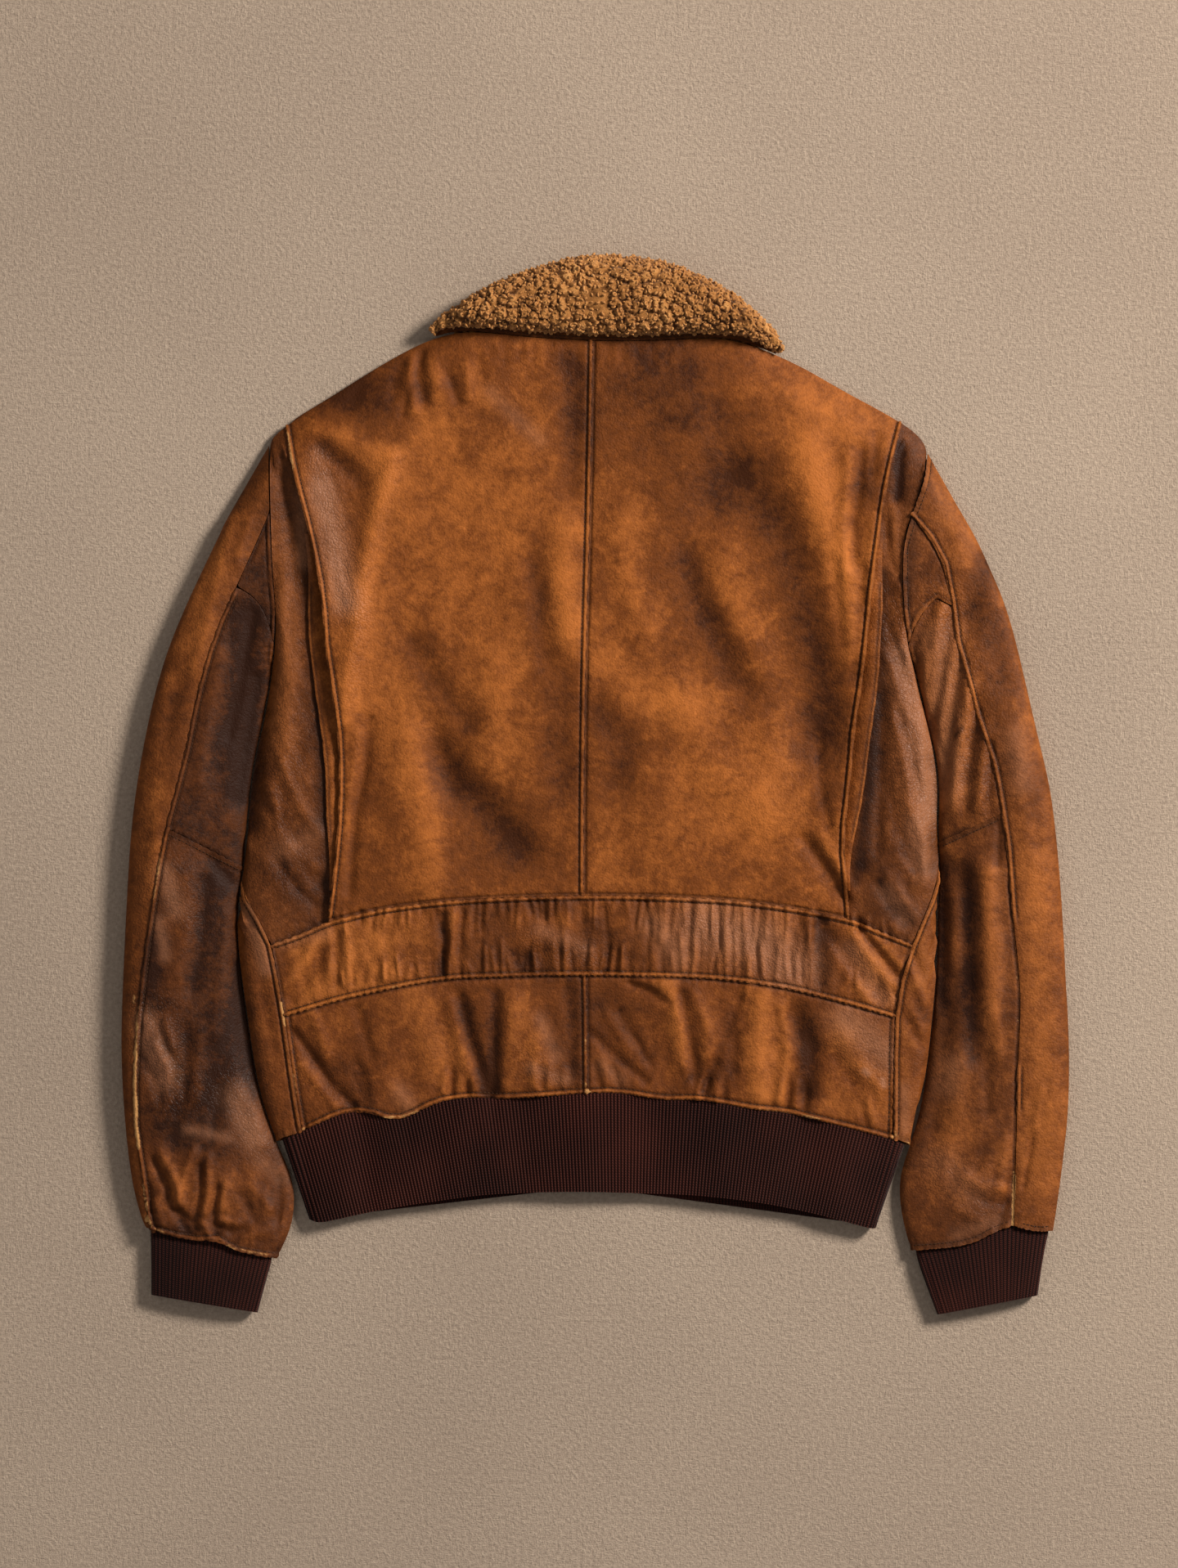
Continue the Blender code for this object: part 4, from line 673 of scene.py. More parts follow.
def belt_folds():
    """Short uneven gathers along both seams of the belt, and the larger folds between them."""
    pulls = np.random.default_rng(5)
    marks = [
        (6, -2.2, (538, 1118), (545, 1150), (541, 1188)), (6, 2.1, (556, 1116), (552, 1150), (549, 1190)),
        (5, -1.5, (563, 1112), (563, 1190)), (6, 1.5, (688, 1102), (690, 1150), (688, 1186)),
        (9, -2.0, (398, 1160), (376, 1195), (357, 1222)), (8, 1.9, (388, 1150), (368, 1182), (350, 1202)),
        (7, 1.3, (404, 1140), (405, 1190)), (6, -1.4, (412, 1142), (411, 1205)),
        (7, 1.5, (425, 1130), (428, 1190)),
        (7, 1.9, (1040, 1138), (1060, 1168), (1086, 1200)),
        (6, -2.2, (1050, 1132), (1074, 1165), (1095, 1192)),
        (6, 1.7, (1062, 1140), (1084, 1163), (1100, 1180)),
        (8, -1.7, (1005, 1130), (1024, 1160), (1052, 1195), (1075, 1222)),
        (7, 1.5, (1012, 1155), (1038, 1192), (1062, 1224)),
        (9, -2.2, (1001, 1122), (1003, 1165), (1000, 1200)),
        (7, 1.4, (985, 1120), (988, 1160)), (12, 1.2, (640, 1150), (700, 1148)),
        (9, -1.2, (655, 1165), (640, 1180)),
        (5, -1.4, (740, 1110), (744, 1150), (738, 1185)), (6, 1.3, (795, 1105), (800, 1145)),
        (6, 1.3, (850, 1110), (846, 1160)),
    ]
    stretches = ((420, 530, 18), (536, 640, 26), (640, 790, 26), (790, 995, 42), (1040, 1095, 14))
    for low, high, reach in stretches:
        for edge in (-1, 1):
            x = low
            while x < high:
                drop = 22 * ((x - 720) / 380) ** 2 + 30 * max(0.0, abs(x - 720) / 380 - 0.45) ** 2
                y = (1100 if edge < 0 else 1186) + drop
                length = reach * pulls.uniform(0.5, 1.4)
                lean = pulls.uniform(-5, 5)
                height = pulls.uniform(0.6, 1.5) * pulls.choice([-1, 1])
                marks.append((pulls.uniform(2.6, 4.6), height, (x, y), (x + lean, y - edge * length)))
                x += pulls.uniform(6, 15)
    return marks


BODY_FOLDS = BACK_FOLDS + SIDE_FOLDS + LOWER_FOLDS + belt_folds()
WRINKLED = [
    (40, 0.8, (510, 455), (560, 480)), (30, 0.9, (402, 600), (422, 750)),
    (26, 0.6, (1040, 620), (1070, 760)),
    (40, 0.9, (345, 760), (355, 1060)), (34, 1.0, (1105, 760), (1115, 1080)),
    (50, 0.5, (400, 1280), (450, 1320)),
    (50, 0.5, (800, 1260), (1060, 1300)),
]


def body_relief(spots):
    """The folds of the laid body, its soft lumps, and fine wrinkles where it is worn soft."""
    height = strokes(spots, BODY_FOLDS)
    height += 0.55 * lumps(spots, 75, 60, 1.6, 1.0) + 0.30 * lumps(spots, 27, 100, 1.6, 2.0)
    return height + strokes(spots, WRINKLED) * 0.55 * lumps(spots, 15, 68, 2.6, 3.0, ridged=True)


def paint_hide(panel, tone, gloss=(), pale=(), worn=(), grime=(), base=(0.5, 0.1, 0.0)):
    """Brushes the panel's colour and polish on as soft strokes: folds are painted lighter on their crests and
    darker in their hollows, partly wear and partly painted highlight and painted shade.
    """
    spots = panel.spots()
    # The tone carries painted highlight on fold crests, painted shade in fold hollows, and the seams' painted
    # highlight (panel.light).
    panel.paint("tone", base[0] + strokes(spots, tone) + 0.085 * np.clip(panel.fold, -3, 3) + panel.light)
    panel.paint("gloss", np.clip(base[1] + strokes(spots, gloss), 0, 1))
    # Painted sheen on the polished patches.
    panel.paint("pale", np.clip(base[2] + strokes(spots, pale), 0, 1))
    panel.paint("worn", np.clip(panel.ridge + strokes(spots, worn), 0, 1))
    # Painted shade from the seams' furrows and edges, and from the shaded valleys and pleat gaps.
    panel.paint("grime", np.clip(panel.furrow + strokes(spots, grime), 0, 1))


BACK_DARK, BACK_MIDDLE, BACK_LIGHT = (0.048, 0.0115, 0.0014), (0.168, 0.0440, 0.0062), (0.410, 0.120, 0.021)
back_finish = hide_finish("back_hide", BACK_DARK, BACK_MIDDLE, BACK_LIGHT)
# Tone strokes: the leather's own lighter and darker patches, and painted shade and painted highlight along
# the folds, light where a fold faces the key light and dark where it faces away.
BACK_TONE = [
    (85, -0.26, (790, 440), (850, 520), (900, 570)), (30, -0.16, (790, 445), (835, 452)),
    (46, -0.05, (905, 590), (965, 650), (990, 720)),
    (100, 0.15, (540, 560), (590, 640), (600, 780)), (50, 0.10, (800, 940), (880, 990), (940, 1000)),
    (12, -0.24, (588, 512), (640, 512)), (10, -0.20, (604, 578), (648, 580)),
    (14, -0.18, (570, 530), (575, 560)),
    (26, -0.24, (560, 950), (610, 1010), (650, 1060)), (24, -0.18, (845, 700), (880, 780), (915, 850)),
    (26, -0.22, (520, 800), (575, 885)), (24, -0.24, (700, 450), (704, 560)),
    (30, -0.14, (690, 840), (685, 980)),
    (26, -0.20, (745, 880), (762, 950)), (34, 0.24, (985, 540), (1015, 640), (1030, 720)),
    (20, 0.20, (690, 640), (692, 770)),
    (24, -0.24, (990, 740), (1010, 850), (1008, 980)), (18, -0.22, (655, 710), (665, 790)),
    (24, 0.14, (520, 960), (525, 1080)),
    (22, 0.20, (478, 563), (445, 695), (428, 850)), (13, -0.26, (448, 600), (436, 690)),
    (10, -0.26, (398, 545), (430, 580)),
    (20, 0.22, (385, 525), (420, 530)), (34, -0.22, (420, 480), (470, 500)),
    (40, 0.10, (480, 700), (470, 860)), (24, 0.16, (740, 800), (790, 860), (900, 850)),
    (40, 0.06, (600, 480), (660, 560)), (50, -0.32, (390, 500), (450, 460), (480, 440)),
    (10, -0.22, (506, 478), (520, 492)), (10, -0.2, (548, 470), (560, 492)),
    (44, 0.22, (1000, 490), (1060, 530)), (14, -0.16, (805, 520), (840, 514)),
    (20, -0.16, (1060, 560), (1048, 640)),
    (30, 0.10, (745, 620), (760, 700)), (30, 0.10, (950, 900), (960, 1000)),
    (26, -0.12, (455, 960), (470, 1080)),
]
BACK_GLOSS = [
    (24, 0.85, (392, 560), (402, 620), (425, 745)), (60, 0.15, (640, 440), (760, 500)),
    (50, 0.15, (930, 900), (1000, 1050)),
    (18, 0.3, (478, 563), (445, 695), (428, 850)),
]
# Painted sheen: a pale pinkish brown on the polished patches, standing in for the light's reflection.
BACK_PAINTED_SHEEN = [
    (17, 0.95, (396, 600), (408, 660), (424, 738)), (12, 0.4, (388, 560), (394, 610)),
    (10, 0.3, (600, 480), (660, 540)),
]
BACK_WORN = [
    (5, 0.3, (396, 640), (420, 730)), (4, 0.30, (353, 530), (358, 575)),
    (3, 0.4, (715, 1060), (716, 1092)),
]
back = {}
for side in ("left", "right"):
    back[side] = Panel(f"back_panel_{side}", f"back_{side}")
    back[side].relieve(body_relief)
panel = back["left"]
panel.seam(panel.run_near(718, 800), worn=0.22)
panel.seam(panel.run_near(404, 825), rise=0.0012, worn=0.40)
panel.seam(panel.run_near(556, 1101), width=0.001, rise=0.0, light=0.0, furrow=0.0006)
panel = back["right"]
panel.seam(panel.run_near(718, 800), width=0.0008, rise=0.0, light=0.0, furrow=0.0007)
panel.seam(panel.run_near(1054, 821), rise=0.0012, worn=0.36)
panel.seam(panel.run_near(876, 1099), width=0.001, rise=0.0, light=0.0, furrow=0.0006)
sew(
    "back_stitching",
    [
        (back["left"], back["left"].run_near(718, 800), STITCH_INSIDE),
        (back["left"], back["left"].run_near(404, 825), STITCH_INSIDE),
        (back["right"], back["right"].run_near(1054, 821), STITCH_INSIDE),
    ],
)
for side in ("left", "right"):
    paint_hide(back[side], BACK_TONE, BACK_GLOSS, BACK_PAINTED_SHEEN, BACK_WORN, base=(0.54, 0.10, 0.0))
    back[side].finish(back_finish, "leather", (0.235, 0.450), 0.087)


# Side panels and pleats
# A panel below each arm, smoother and darker than the back. It runs under the back panel's edge,
# and the folded leather of the pleat looks out between them.
side_finish = hide_finish(
    "side_hide", (0.028, 0.0070, 0.0014), (0.108, 0.029, 0.0052), (0.250, 0.074, 0.0170), grain=0.6
)
pleat_finish = hide_finish("pleat_hide", BACK_DARK, BACK_MIDDLE, BACK_LIGHT)
# Tone strokes: the panels' own patches, painted shadow in the gap under each back panel's pleat edge, and
# painted shade and highlight along the folds.
SIDE_TONE = [
    (22, 0.26, (335, 640), (345, 760), (345, 900)), (14, -0.40, (384, 700), (394, 850), (400, 1000)),
    (24, -0.10, (350, 1060), (380, 1110)),
    (10, -0.30, (306, 900), (303, 1010)), (22, 0.22, (1108, 740), (1122, 860), (1130, 980)),
    (10, -0.45, (1068, 850), (1062, 960), (1050, 1060)),
    (20, -0.25, (1070, 1060), (1090, 1110)), (8, -0.35, (1100, 550), (1097, 610)),
    (9, 0.25, (1090, 620), (1090, 700)),
]
SIDE_GLOSS = [
    (34, 0.6, (1105, 740), (1130, 1000)), (34, 0.4, (340, 900), (350, 1060)),
    (20, 0.4, (372, 600), (372, 700)),
]
# Painted sheen on the polished patches of the side panels and pleats.
SIDE_PAINTED_SHEEN = [
    (18, 0.75, (1108, 800), (1124, 900), (1134, 990)), (14, 0.5, (1120, 1010), (1130, 1060)),
    (8, 0.5, (370, 600), (372, 690)),
    (16, 0.25, (345, 1040), (390, 1020)), (12, 0.35, (1085, 1090), (1110, 1120)),
]
# Painted shadow: near black in the gap where each back panel's edge shades the pleat and the side panel.
SIDE_SHADE = [
    (7, 0.8, (384, 690), (392, 850), (398, 1000), (400, 1100)),
    (7, 0.7, (1080, 700), (1076, 850), (1062, 960), (1044, 1080)),
]
for side, foot, crease in (("left", (381, 1136), (385, 820)), ("right", (1062, 1133), (1066, 850))):
    panel = Panel(f"under_arm_panel_{side}", f"side_panel_{side}")
    panel.relieve(body_relief)
    panel.seam(panel.run_near(*foot), width=0.001, rise=0.0, light=0.0, furrow=0.0006)
    paint_hide(panel, SIDE_TONE, SIDE_GLOSS, SIDE_PAINTED_SHEEN, grime=SIDE_SHADE, base=(0.50, 0.40, 0.0))
    panel.finish(side_finish, "dark_leather", (0.095, 0.395), 0.0245)
    fold = Panel(f"pleat_fold_{side}", f"pleat_{side}")
    fold.relieve(body_relief)
    fold.seam(fold.run_near(*crease), width=0.0016, rise=0.0004, furrow=0.0)
    paint_hide(fold, BACK_TONE, SIDE_GLOSS, SIDE_PAINTED_SHEEN, base=(0.50, 0.25, 0.0))
    fold.finish(pleat_finish, "leather", (0.036, 0.272), 0.0046, held="folded")


# Waist belt
# A curved band across the waist, gathered between its seams and stitched along both edges.
belt_finish = hide_finish(
    "belt_hide", (0.044, 0.0108, 0.0016), (0.162, 0.0430, 0.0068), (0.400, 0.120, 0.022)
)
belt = Panel("waist_belt", "belt")
belt.relieve(body_relief)
# Tone strokes: the belt's own patches, and painted shade and painted highlight along its gathers and folds.
BELT_TONE = [
    (44, 0.24, (370, 1165), (440, 1150), (525, 1130)), (20, 0.20, (380, 1215), (480, 1190)),
    (60, -0.20, (600, 1150), (720, 1150)),
    (20, 0.22, (640, 1125), (700, 1125)), (60, 0.05, (860, 1120), (960, 1180)),
    (20, -0.30, (1003, 1120), (1008, 1200)),
    (12, -0.34, (541, 1120), (542, 1185)), (22, 0.24, (1060, 1180), (1090, 1215)),
    (12, -0.24, (610, 1110), (690, 1106)),
    (40, -0.06, (750, 1150), (800, 1150)), (10, -0.22, (345, 1160), (352, 1200)),
]
BELT_GLOSS = [
    (40, 0.55, (860, 1130), (970, 1180)), (18, 0.5, (650, 1150), (720, 1170)),
    (20, 0.4, (1040, 1160), (1080, 1220)),
]
# Painted sheen on the belt's polished patches.
BELT_PAINTED_SHEEN = [
    (32, 0.75, (860, 1130), (930, 1150), (965, 1180)), (18, 0.40, (800, 1130), (830, 1170)),
    (12, 0.45, (1040, 1160), (1080, 1220)),
    (10, 0.35, (660, 1135), (715, 1160)), (10, 0.35, (345, 1150), (395, 1140)),
]
BELT_WORN = [
    (5, 0.34, (480, 1206), (500, 1200)), (4, 0.30, (516, 1104), (540, 1102)),
    (6, 0.22, (445, 1130), (470, 1180)),
]
for spot in ((720, 1095), (720, 1191)):
    belt.seam(belt.run_near(*spot), rise=0.0011, worn=0.20)
for spot in ((341, 1198), (1100, 1199)):
    belt.seam(belt.run_near(*spot), width=0.0008, rise=0.0, light=0.0)
paint_hide(belt, BELT_TONE, BELT_GLOSS, BELT_PAINTED_SHEEN, BELT_WORN, base=(0.50, 0.22, 0.0))
sew("belt_stitching", [(belt, belt.run_near(720, y), STITCH_INSIDE) for y in (1095, 1191)])
belt.finish(belt_finish, "leather", (0.495, 0.063), 0.0297, held="gathered")


# Lower back
# Two panels between the belt and the waistband. Their hem is turned up and stitched, and drawn in
# by the knit.
low_finish = hide_finish(
    "lower_back_hide", (0.042, 0.0102, 0.0014), (0.150, 0.0390, 0.0060), (0.370, 0.110, 0.020)
)
# Tone strokes: the lower back's own patches, and painted shade and painted highlight along its folds.
LOW_TONE = [
    (26, -0.26, (410, 1300), (445, 1340)), (40, 0.18, (500, 1235), (540, 1300)),
    (14, -0.30, (572, 1240), (596, 1330)),
    (12, -0.28, (605, 1220), (604, 1330)), (30, 0.16, (640, 1230), (650, 1310)),
    (16, -0.20, (700, 1200), (704, 1310)),
    (34, -0.16, (740, 1230), (780, 1290)), (14, 0.22, (815, 1205), (835, 1290)),
    (16, -0.20, (895, 1250), (885, 1310)),
    (18, 0.26, (932, 1215), (928, 1330)), (16, -0.32, (988, 1250), (986, 1330)),
    (30, 0.16, (1040, 1270), (1075, 1340)),
    (20, 0.16, (1020, 1350), (1075, 1370)), (14, 0.14, (960, 1230), (956, 1330)),
    (20, 0.10, (470, 1320), (500, 1350)),
]
LOW_GLOSS = [
    (40, 0.4, (1040, 1260), (1080, 1300)), (20, 0.4, (640, 1290), (690, 1330)),
    (30, 0.3, (380, 1300), (430, 1340)),
]
# Painted sheen on the lower back's polished patches, with a few small painted glints.
LOW_PAINTED_SHEEN = [
    (22, 0.65, (1035, 1245), (1085, 1290)), (12, 0.40, (490, 1335), (500, 1352)),
    (8, 0.45, (650, 1305), (692, 1320)),
    (10, 0.25, (735, 1300), (760, 1320)), (9, 0.35, (660, 1245), (680, 1290)),
    (4, 0.9, (1056, 1308), (1060, 1312)), (3, 0.9, (1078, 1320), (1080, 1326)),
]
LOW_WORN = [
    (4, 0.42, (358, 1312), (362, 1345)), (4, 0.34, (368, 1368), (372, 1380)),
    (3, 0.32, (470, 1366), (512, 1358)), (4, 0.40, (715, 1325), (720, 1336)),
    (4, 0.36, (1088, 1382), (1094, 1392)), (3, 0.26, (930, 1356), (1000, 1366)),
    (8, 0.22, (370, 1318), (386, 1322)), (3, 0.30, (715, 1268), (716, 1285)),
]
low = {}
for side, hem, edge in (("left", (538, 1345), (359, 1312)), ("right", (906, 1352), (1092, 1317))):
    panel = low[side] = Panel(f"lower_back_panel_{side}", f"lower_back_{side}")
    panel.relieve(body_relief)
    panel.seam(panel.run_near(*hem), rise=0.0012, worn=0.36)
    panel.seam(panel.run_near(*edge), width=0.0026, rise=0.0006, light=0.10, worn=0.15)
    panel.seam(panel.run_near(638 if side == "left" else 797, 1193), width=0.0007, rise=0.0, light=0.0)
low["left"].seam(low["left"].run_near(717, 1264), worn=0.24)
low["right"].seam(low["right"].run_near(717, 1264), width=0.0007, rise=0.0, light=0.0)
sew(
    "lower_back_stitching",
    [
        (low["left"], low["left"].run_near(717, 1264), STITCH_INSIDE),
        (low["left"], low["left"].run_near(538, 1345), STITCH_INSIDE),
        (low["left"], low["left"].run_near(359, 1312), STITCH_INSIDE),
        (low["right"], low["right"].run_near(906, 1352), STITCH_INSIDE),
        (low["right"], low["right"].run_near(1092, 1317), STITCH_INSIDE),
    ],
)
for side in ("left", "right"):
    paint_hide(low[side], LOW_TONE, LOW_GLOSS, LOW_PAINTED_SHEEN, LOW_WORN, base=(0.46, 0.15, 0.0))
    low[side].finish(low_finish, "leather", (0.236, 0.124), 0.0214)


# Fronts
# Each front shows as a strip beside the back's side seam. It goes round the folded edge and lies
# flat under the back as far as the zip.
front_finish = hide_finish(
    "front_hide", (0.038, 0.0095, 0.0015), (0.155, 0.0410, 0.0070), (0.330, 0.100, 0.020)
)
# Tone strokes: the fronts' own patches, painted shade in the valley beside the left sleeve, and painted shade
# and highlight along the folds.
FRONT_TONE = [
    (16, 0.10, (312, 1110), (330, 1200)), (12, -0.30, (300, 1240), (322, 1360)),
    (16, 0.20, (1130, 1060), (1118, 1200)),
    (10, -0.20, (1112, 1190), (1128, 1240)), (20, 0.14, (1108, 1280), (1104, 1380)),
]
# Painted sheen on the fronts' polished patches.
FRONT_PAINTED_SHEEN = [(9, 0.6, (305, 1110), (326, 1185)), (8, 0.35, (1104, 1330), (1106, 1380))]
FRONT_WORN = [(3, 0.5, (345, 1225), (350, 1252)), (3, 0.42, (1094, 1385), (1110, 1397))]
FRONT_FOLDS = [
    (6, 1.4, (1100, 1160), (1118, 1200), (1130, 1225)), (6, -1.4, (1108, 1150), (1126, 1190)),
    (7, -1.0, (320, 1200), (334, 1280)),
    (6, 1.0, (1110, 1230), (1128, 1260)), (6, -1.0, (1108, 1245), (1126, 1280)),
    (7, 1.0, (315, 1120), (328, 1190)),
]
rows = []
for side, edge, hem in (("left", (345, 1240), (350, 1388)), ("right", (1100, 1200), (1102, 1397))):
    panel = Panel(f"front_panel_{side}", f"front_{side}", 1)
    panel.relieve(lambda spots: body_relief(spots) + strokes(spots, FRONT_FOLDS))
    panel.seam(panel.run_near(*edge), width=0.0026, rise=0.0010, worn=0.34)
    panel.seam(panel.run_near(*hem), width=0.0026, rise=0.0006, worn=0.40)
    rows.append((panel, panel.run_near(*edge), STITCH_INSIDE))
    paint_hide(panel, FRONT_TONE, (), FRONT_PAINTED_SHEEN, FRONT_WORN, base=(0.50, 0.2, 0.0))
    panel.finish(front_finish, "leather", (0.320, 0.600), 0.144)
sew("side_seam_stitching", rows)


# Sleeves
# Each is an outer piece, an underarm gusset, and an upper and a lower under piece that meet at the
# elbow. The back seam stands up as a welt, and it is rubbed pale in places.
sleeve_finish = {
    "outer": hide_finish(
        "sleeve_hide", (0.034, 0.0085, 0.0013), (0.150, 0.0400, 0.0065), (0.350, 0.104, 0.020)
    ),
    "under": hide_finish(
        "under_sleeve_hide",
        (0.024, 0.0060, 0.0012),
        (0.112, 0.0300, 0.0056),
        (0.300, 0.088, 0.0180),
        grain=0.6,
    ),
}
SLEEVE_FOLDS = [
    (8, 1.8, (1148, 745), (1140, 800), (1130, 860)), (6, -1.8, (1143, 735), (1128, 760), (1119, 785)),
    (7, -1.6, (1158, 760), (1150, 830), (1138, 890)),
    (6, 1.7, (1165, 790), (1152, 860), (1142, 930)), (6, -1.6, (1174, 810), (1163, 880), (1152, 960)),
    (7, 1.8, (1184, 840), (1172, 910), (1163, 985)),
    (6, -1.6, (1192, 870), (1184, 930), (1178, 990)), (6, 1.6, (1203, 890), (1198, 940), (1193, 985)),
    (5, -1.4, (1210, 910), (1208, 960), (1206, 990)),
    (5, 1.4, (1130, 800), (1128, 850)), (5, -1.4, (1136, 880), (1150, 920)),
    (6, 1.2, (1145, 985), (1180, 965)),
    (16, -1.7, (1212, 668), (1198, 710), (1186, 760)), (16, 1.3, (1175, 650), (1172, 690)),
    (18, -1.6, (1215, 760), (1225, 830)),
    (16, 1.4, (1240, 900), (1246, 960)), (9, -1.0, (1262, 980), (1268, 1040)),
    (12, 1.5, (1156, 1036), (1185, 1060), (1210, 1062)),
    (13, -2.6, (1178, 1060), (1182, 1130), (1184, 1200), (1192, 1290)),
    (12, 2.2, (1206, 1070), (1209, 1150), (1207, 1240)),
    (8, -1.7, (1150, 1070), (1153, 1150), (1150, 1230)), (10, 1.6, (1166, 1100), (1166, 1180)),
    (5, -1.3, (1220, 1010), (1218, 1060)),
    (9, -1.5, (1160, 1230), (1150, 1310), (1140, 1380)),
    (12, 1.6, (1176, 1290), (1168, 1370), (1150, 1440)), (8, -1.4, (1205, 1290), (1206, 1360)),
    (8, 1.4, (1222, 1150), (1216, 1240), (1220, 1290)),
    (6, 1.5, (1175, 1435), (1200, 1448), (1226, 1452)),
    (5, -1.5, (1186, 1460), (1212, 1470), (1230, 1470)),
    (5, 1.3, (1168, 1478), (1196, 1488)), (5, -1.6, (1236, 1440), (1228, 1470), (1220, 1500)),
    (4, -1.3, (1262, 1385), (1250, 1450)),
    (6, 1.2, (1228, 1390), (1222, 1450)), (7, -1.2, (1205, 1400), (1190, 1430)),
    (5, 1.0, (1272, 1330), (1262, 1385)),
    (10, -1.5, (222, 830), (205, 900)), (10, 1.5, (282, 640), (258, 740), (240, 820)),
    (8, 1.5, (305, 640), (292, 690)),
    (8, -1.6, (310, 750), (296, 830), (280, 900)), (10, 1.6, (272, 800), (256, 880), (246, 960)),
    (10, -2.2, (315, 830), (302, 900), (292, 980)),
    (9, 1.2, (194, 1000), (182, 1080)), (8, -1.6, (258, 1050), (285, 1080)),
    (12, 1.7, (232, 1070), (228, 1140), (216, 1190)),
    (10, -1.8, (252, 1080), (246, 1150), (236, 1210)), (11, 1.6, (280, 1120), (272, 1200), (264, 1260)),
    (10, -2.6, (292, 1180), (298, 1270), (308, 1330)),
    (7, 1.7, (178, 1245), (190, 1270), (206, 1310)), (5, -1.6, (186, 1240), (200, 1270), (214, 1296)),
    (6, 1.5, (205, 1250), (212, 1280)),
    (6, -1.6, (172, 1290), (190, 1318), (196, 1340)), (8, -1.4, (230, 1260), (226, 1330), (214, 1390)),
    (9, 1.4, (246, 1260), (240, 1340)),
    (10, 1.8, (300, 1335), (314, 1370), (322, 1395)), (8, -1.4, (270, 1330), (262, 1380)),
    (6, -2.6, (190, 1418), (204, 1450), (214, 1478), (232, 1506)),
    (7, 2.3, (200, 1412), (215, 1440), (222, 1470)), (6, 2.2, (238, 1405), (226, 1440), (214, 1470)),
    (5, -2.2, (246, 1425), (246, 1460), (238, 1490)),
    (6, 2.0, (256, 1412), (256, 1450), (250, 1480)), (5, -2.4, (268, 1452), (262, 1480), (264, 1506)),
    (6, 2.0, (276, 1440), (272, 1475)),
    (5, -1.8, (270, 1500), (285, 1506), (300, 1503)), (5, 1.8, (270, 1490), (290, 1494)),
    (5, 1.8, (250, 1495), (256, 1508)),
    (5, -1.7, (222, 1480), (240, 1500)), (7, 1.6, (190, 1470), (200, 1495)),
    (5, -1.6, (184, 1450), (186, 1480)), (8, 1.5, (310, 1450), (330, 1475)),
    (6, -1.3, (296, 1460), (312, 1490)), (6, 1.4, (300, 1510), (325, 1505)),
    (6, -1.6, (342, 1440), (340, 1490)), (12, -1.4, (214, 1395), (250, 1398)),
]
SLEEVE_WRINKLED = [
    (60, 0.9, (200, 1450), (320, 1490)), (40, 1.0, (1150, 780), (1180, 980)),
    (40, 0.7, (190, 1240), (220, 1330)), (50, 0.5, (1170, 1440), (1220, 1480)),
]
# Tone strokes: the sleeves' own patches, painted shade in the valley between each sleeve and the body, and
# painted shade and painted highlight along the folds.
SLEEVE_TONE = [
    (16, -0.26, (1208, 680), (1190, 755)), (26, 0.22, (1155, 600), (1185, 660)),
    (30, 0.18, (1240, 700), (1275, 900)), (24, 0.26, (1265, 1050), (1275, 1450)),
    (12, -0.24, (1182, 1060), (1186, 1290)), (10, -0.28, (1153, 1060), (1150, 1230)),
    (14, 0.26, (1207, 1070), (1208, 1290)), (26, 0.12, (1160, 1300), (1150, 1450)),
    (30, 0.28, (1150, 760), (1165, 960)), (20, -0.10, (1215, 780), (1230, 960)),
    (30, -0.22, (270, 1080), (285, 1300)), (24, -0.30, (300, 760), (290, 960)),
    (34, 0.34, (205, 1440), (245, 1470)), (44, 0.28, (290, 1440), (330, 1490)),
    (20, 0.16, (190, 1000), (210, 940)), (16, -0.26, (185, 1150), (182, 1220)),
    (26, -0.14, (240, 1250), (260, 1360)), (24, 0.20, (255, 680), (225, 830)),
    (20, -0.16, (260, 900), (240, 1000)), (10, 0.16, (160, 1250), (168, 1400)),
    (12, -0.20, (1140, 1300), (1118, 1420)), (20, -0.16, (1165, 1490), (1205, 1490)),
    (16, 0.14, (300, 1395), (330, 1420)),
]
SLEEVE_GLOSS = [
    (34, 0.8, (185, 1240), (215, 1330)), (34, 0.6, (1150, 740), (1190, 960)),
    (30, 0.5, (205, 1070), (225, 1120)), (30, 0.6, (285, 1330), (315, 1390)),
    (30, 0.4, (1140, 1420), (1200, 1470)),
]
# Painted sheen on the sleeves' polished patches.
SLEEVE_PAINTED_SHEEN = [
    (12, 0.55, (203, 1065), (218, 1112)), (8, 0.45, (196, 1125), (204, 1168)),
    (16, 0.60, (180, 1250), (205, 1318)), (16, 0.7, (290, 1340), (312, 1392)),
    (22, 0.40, (1148, 780), (1160, 960)), (14, 0.35, (1165, 1300), (1160, 1330)),
    (20, 0.25, (1150, 1420), (1190, 1460)), (7, 0.4, (230, 1380), (280, 1390)),
    (14, 0.35, (1238, 900), (1248, 960)), (10, 0.30, (320, 1420), (345, 1440)),
    (10, 0.30, (1170, 1510), (1215, 1490)),
]
SLEEVE_WORN = [
    (5, 0.50, (166, 1215), (166, 1320), (171, 1400)), (4, 0.40, (176, 1450), (180, 1498)),
    (3, 0.80, (1239, 1432), (1237, 1495)), (3, 0.42, (1241, 1180), (1243, 1250)),
    (3, 0.38, (1228, 1090), (1232, 1120)), (4, 0.40, (1172, 1506), (1190, 1500)),
    (3, 0.42, (280, 1522), (330, 1534)), (3, 0.40, (1118, 1524), (1170, 1520)),
    (4, 0.34, (180, 1490), (200, 1502)), (7, 0.22, (255, 1440), (268, 1455)),
    (3, 0.30, (200, 1020), (190, 1100)),
]
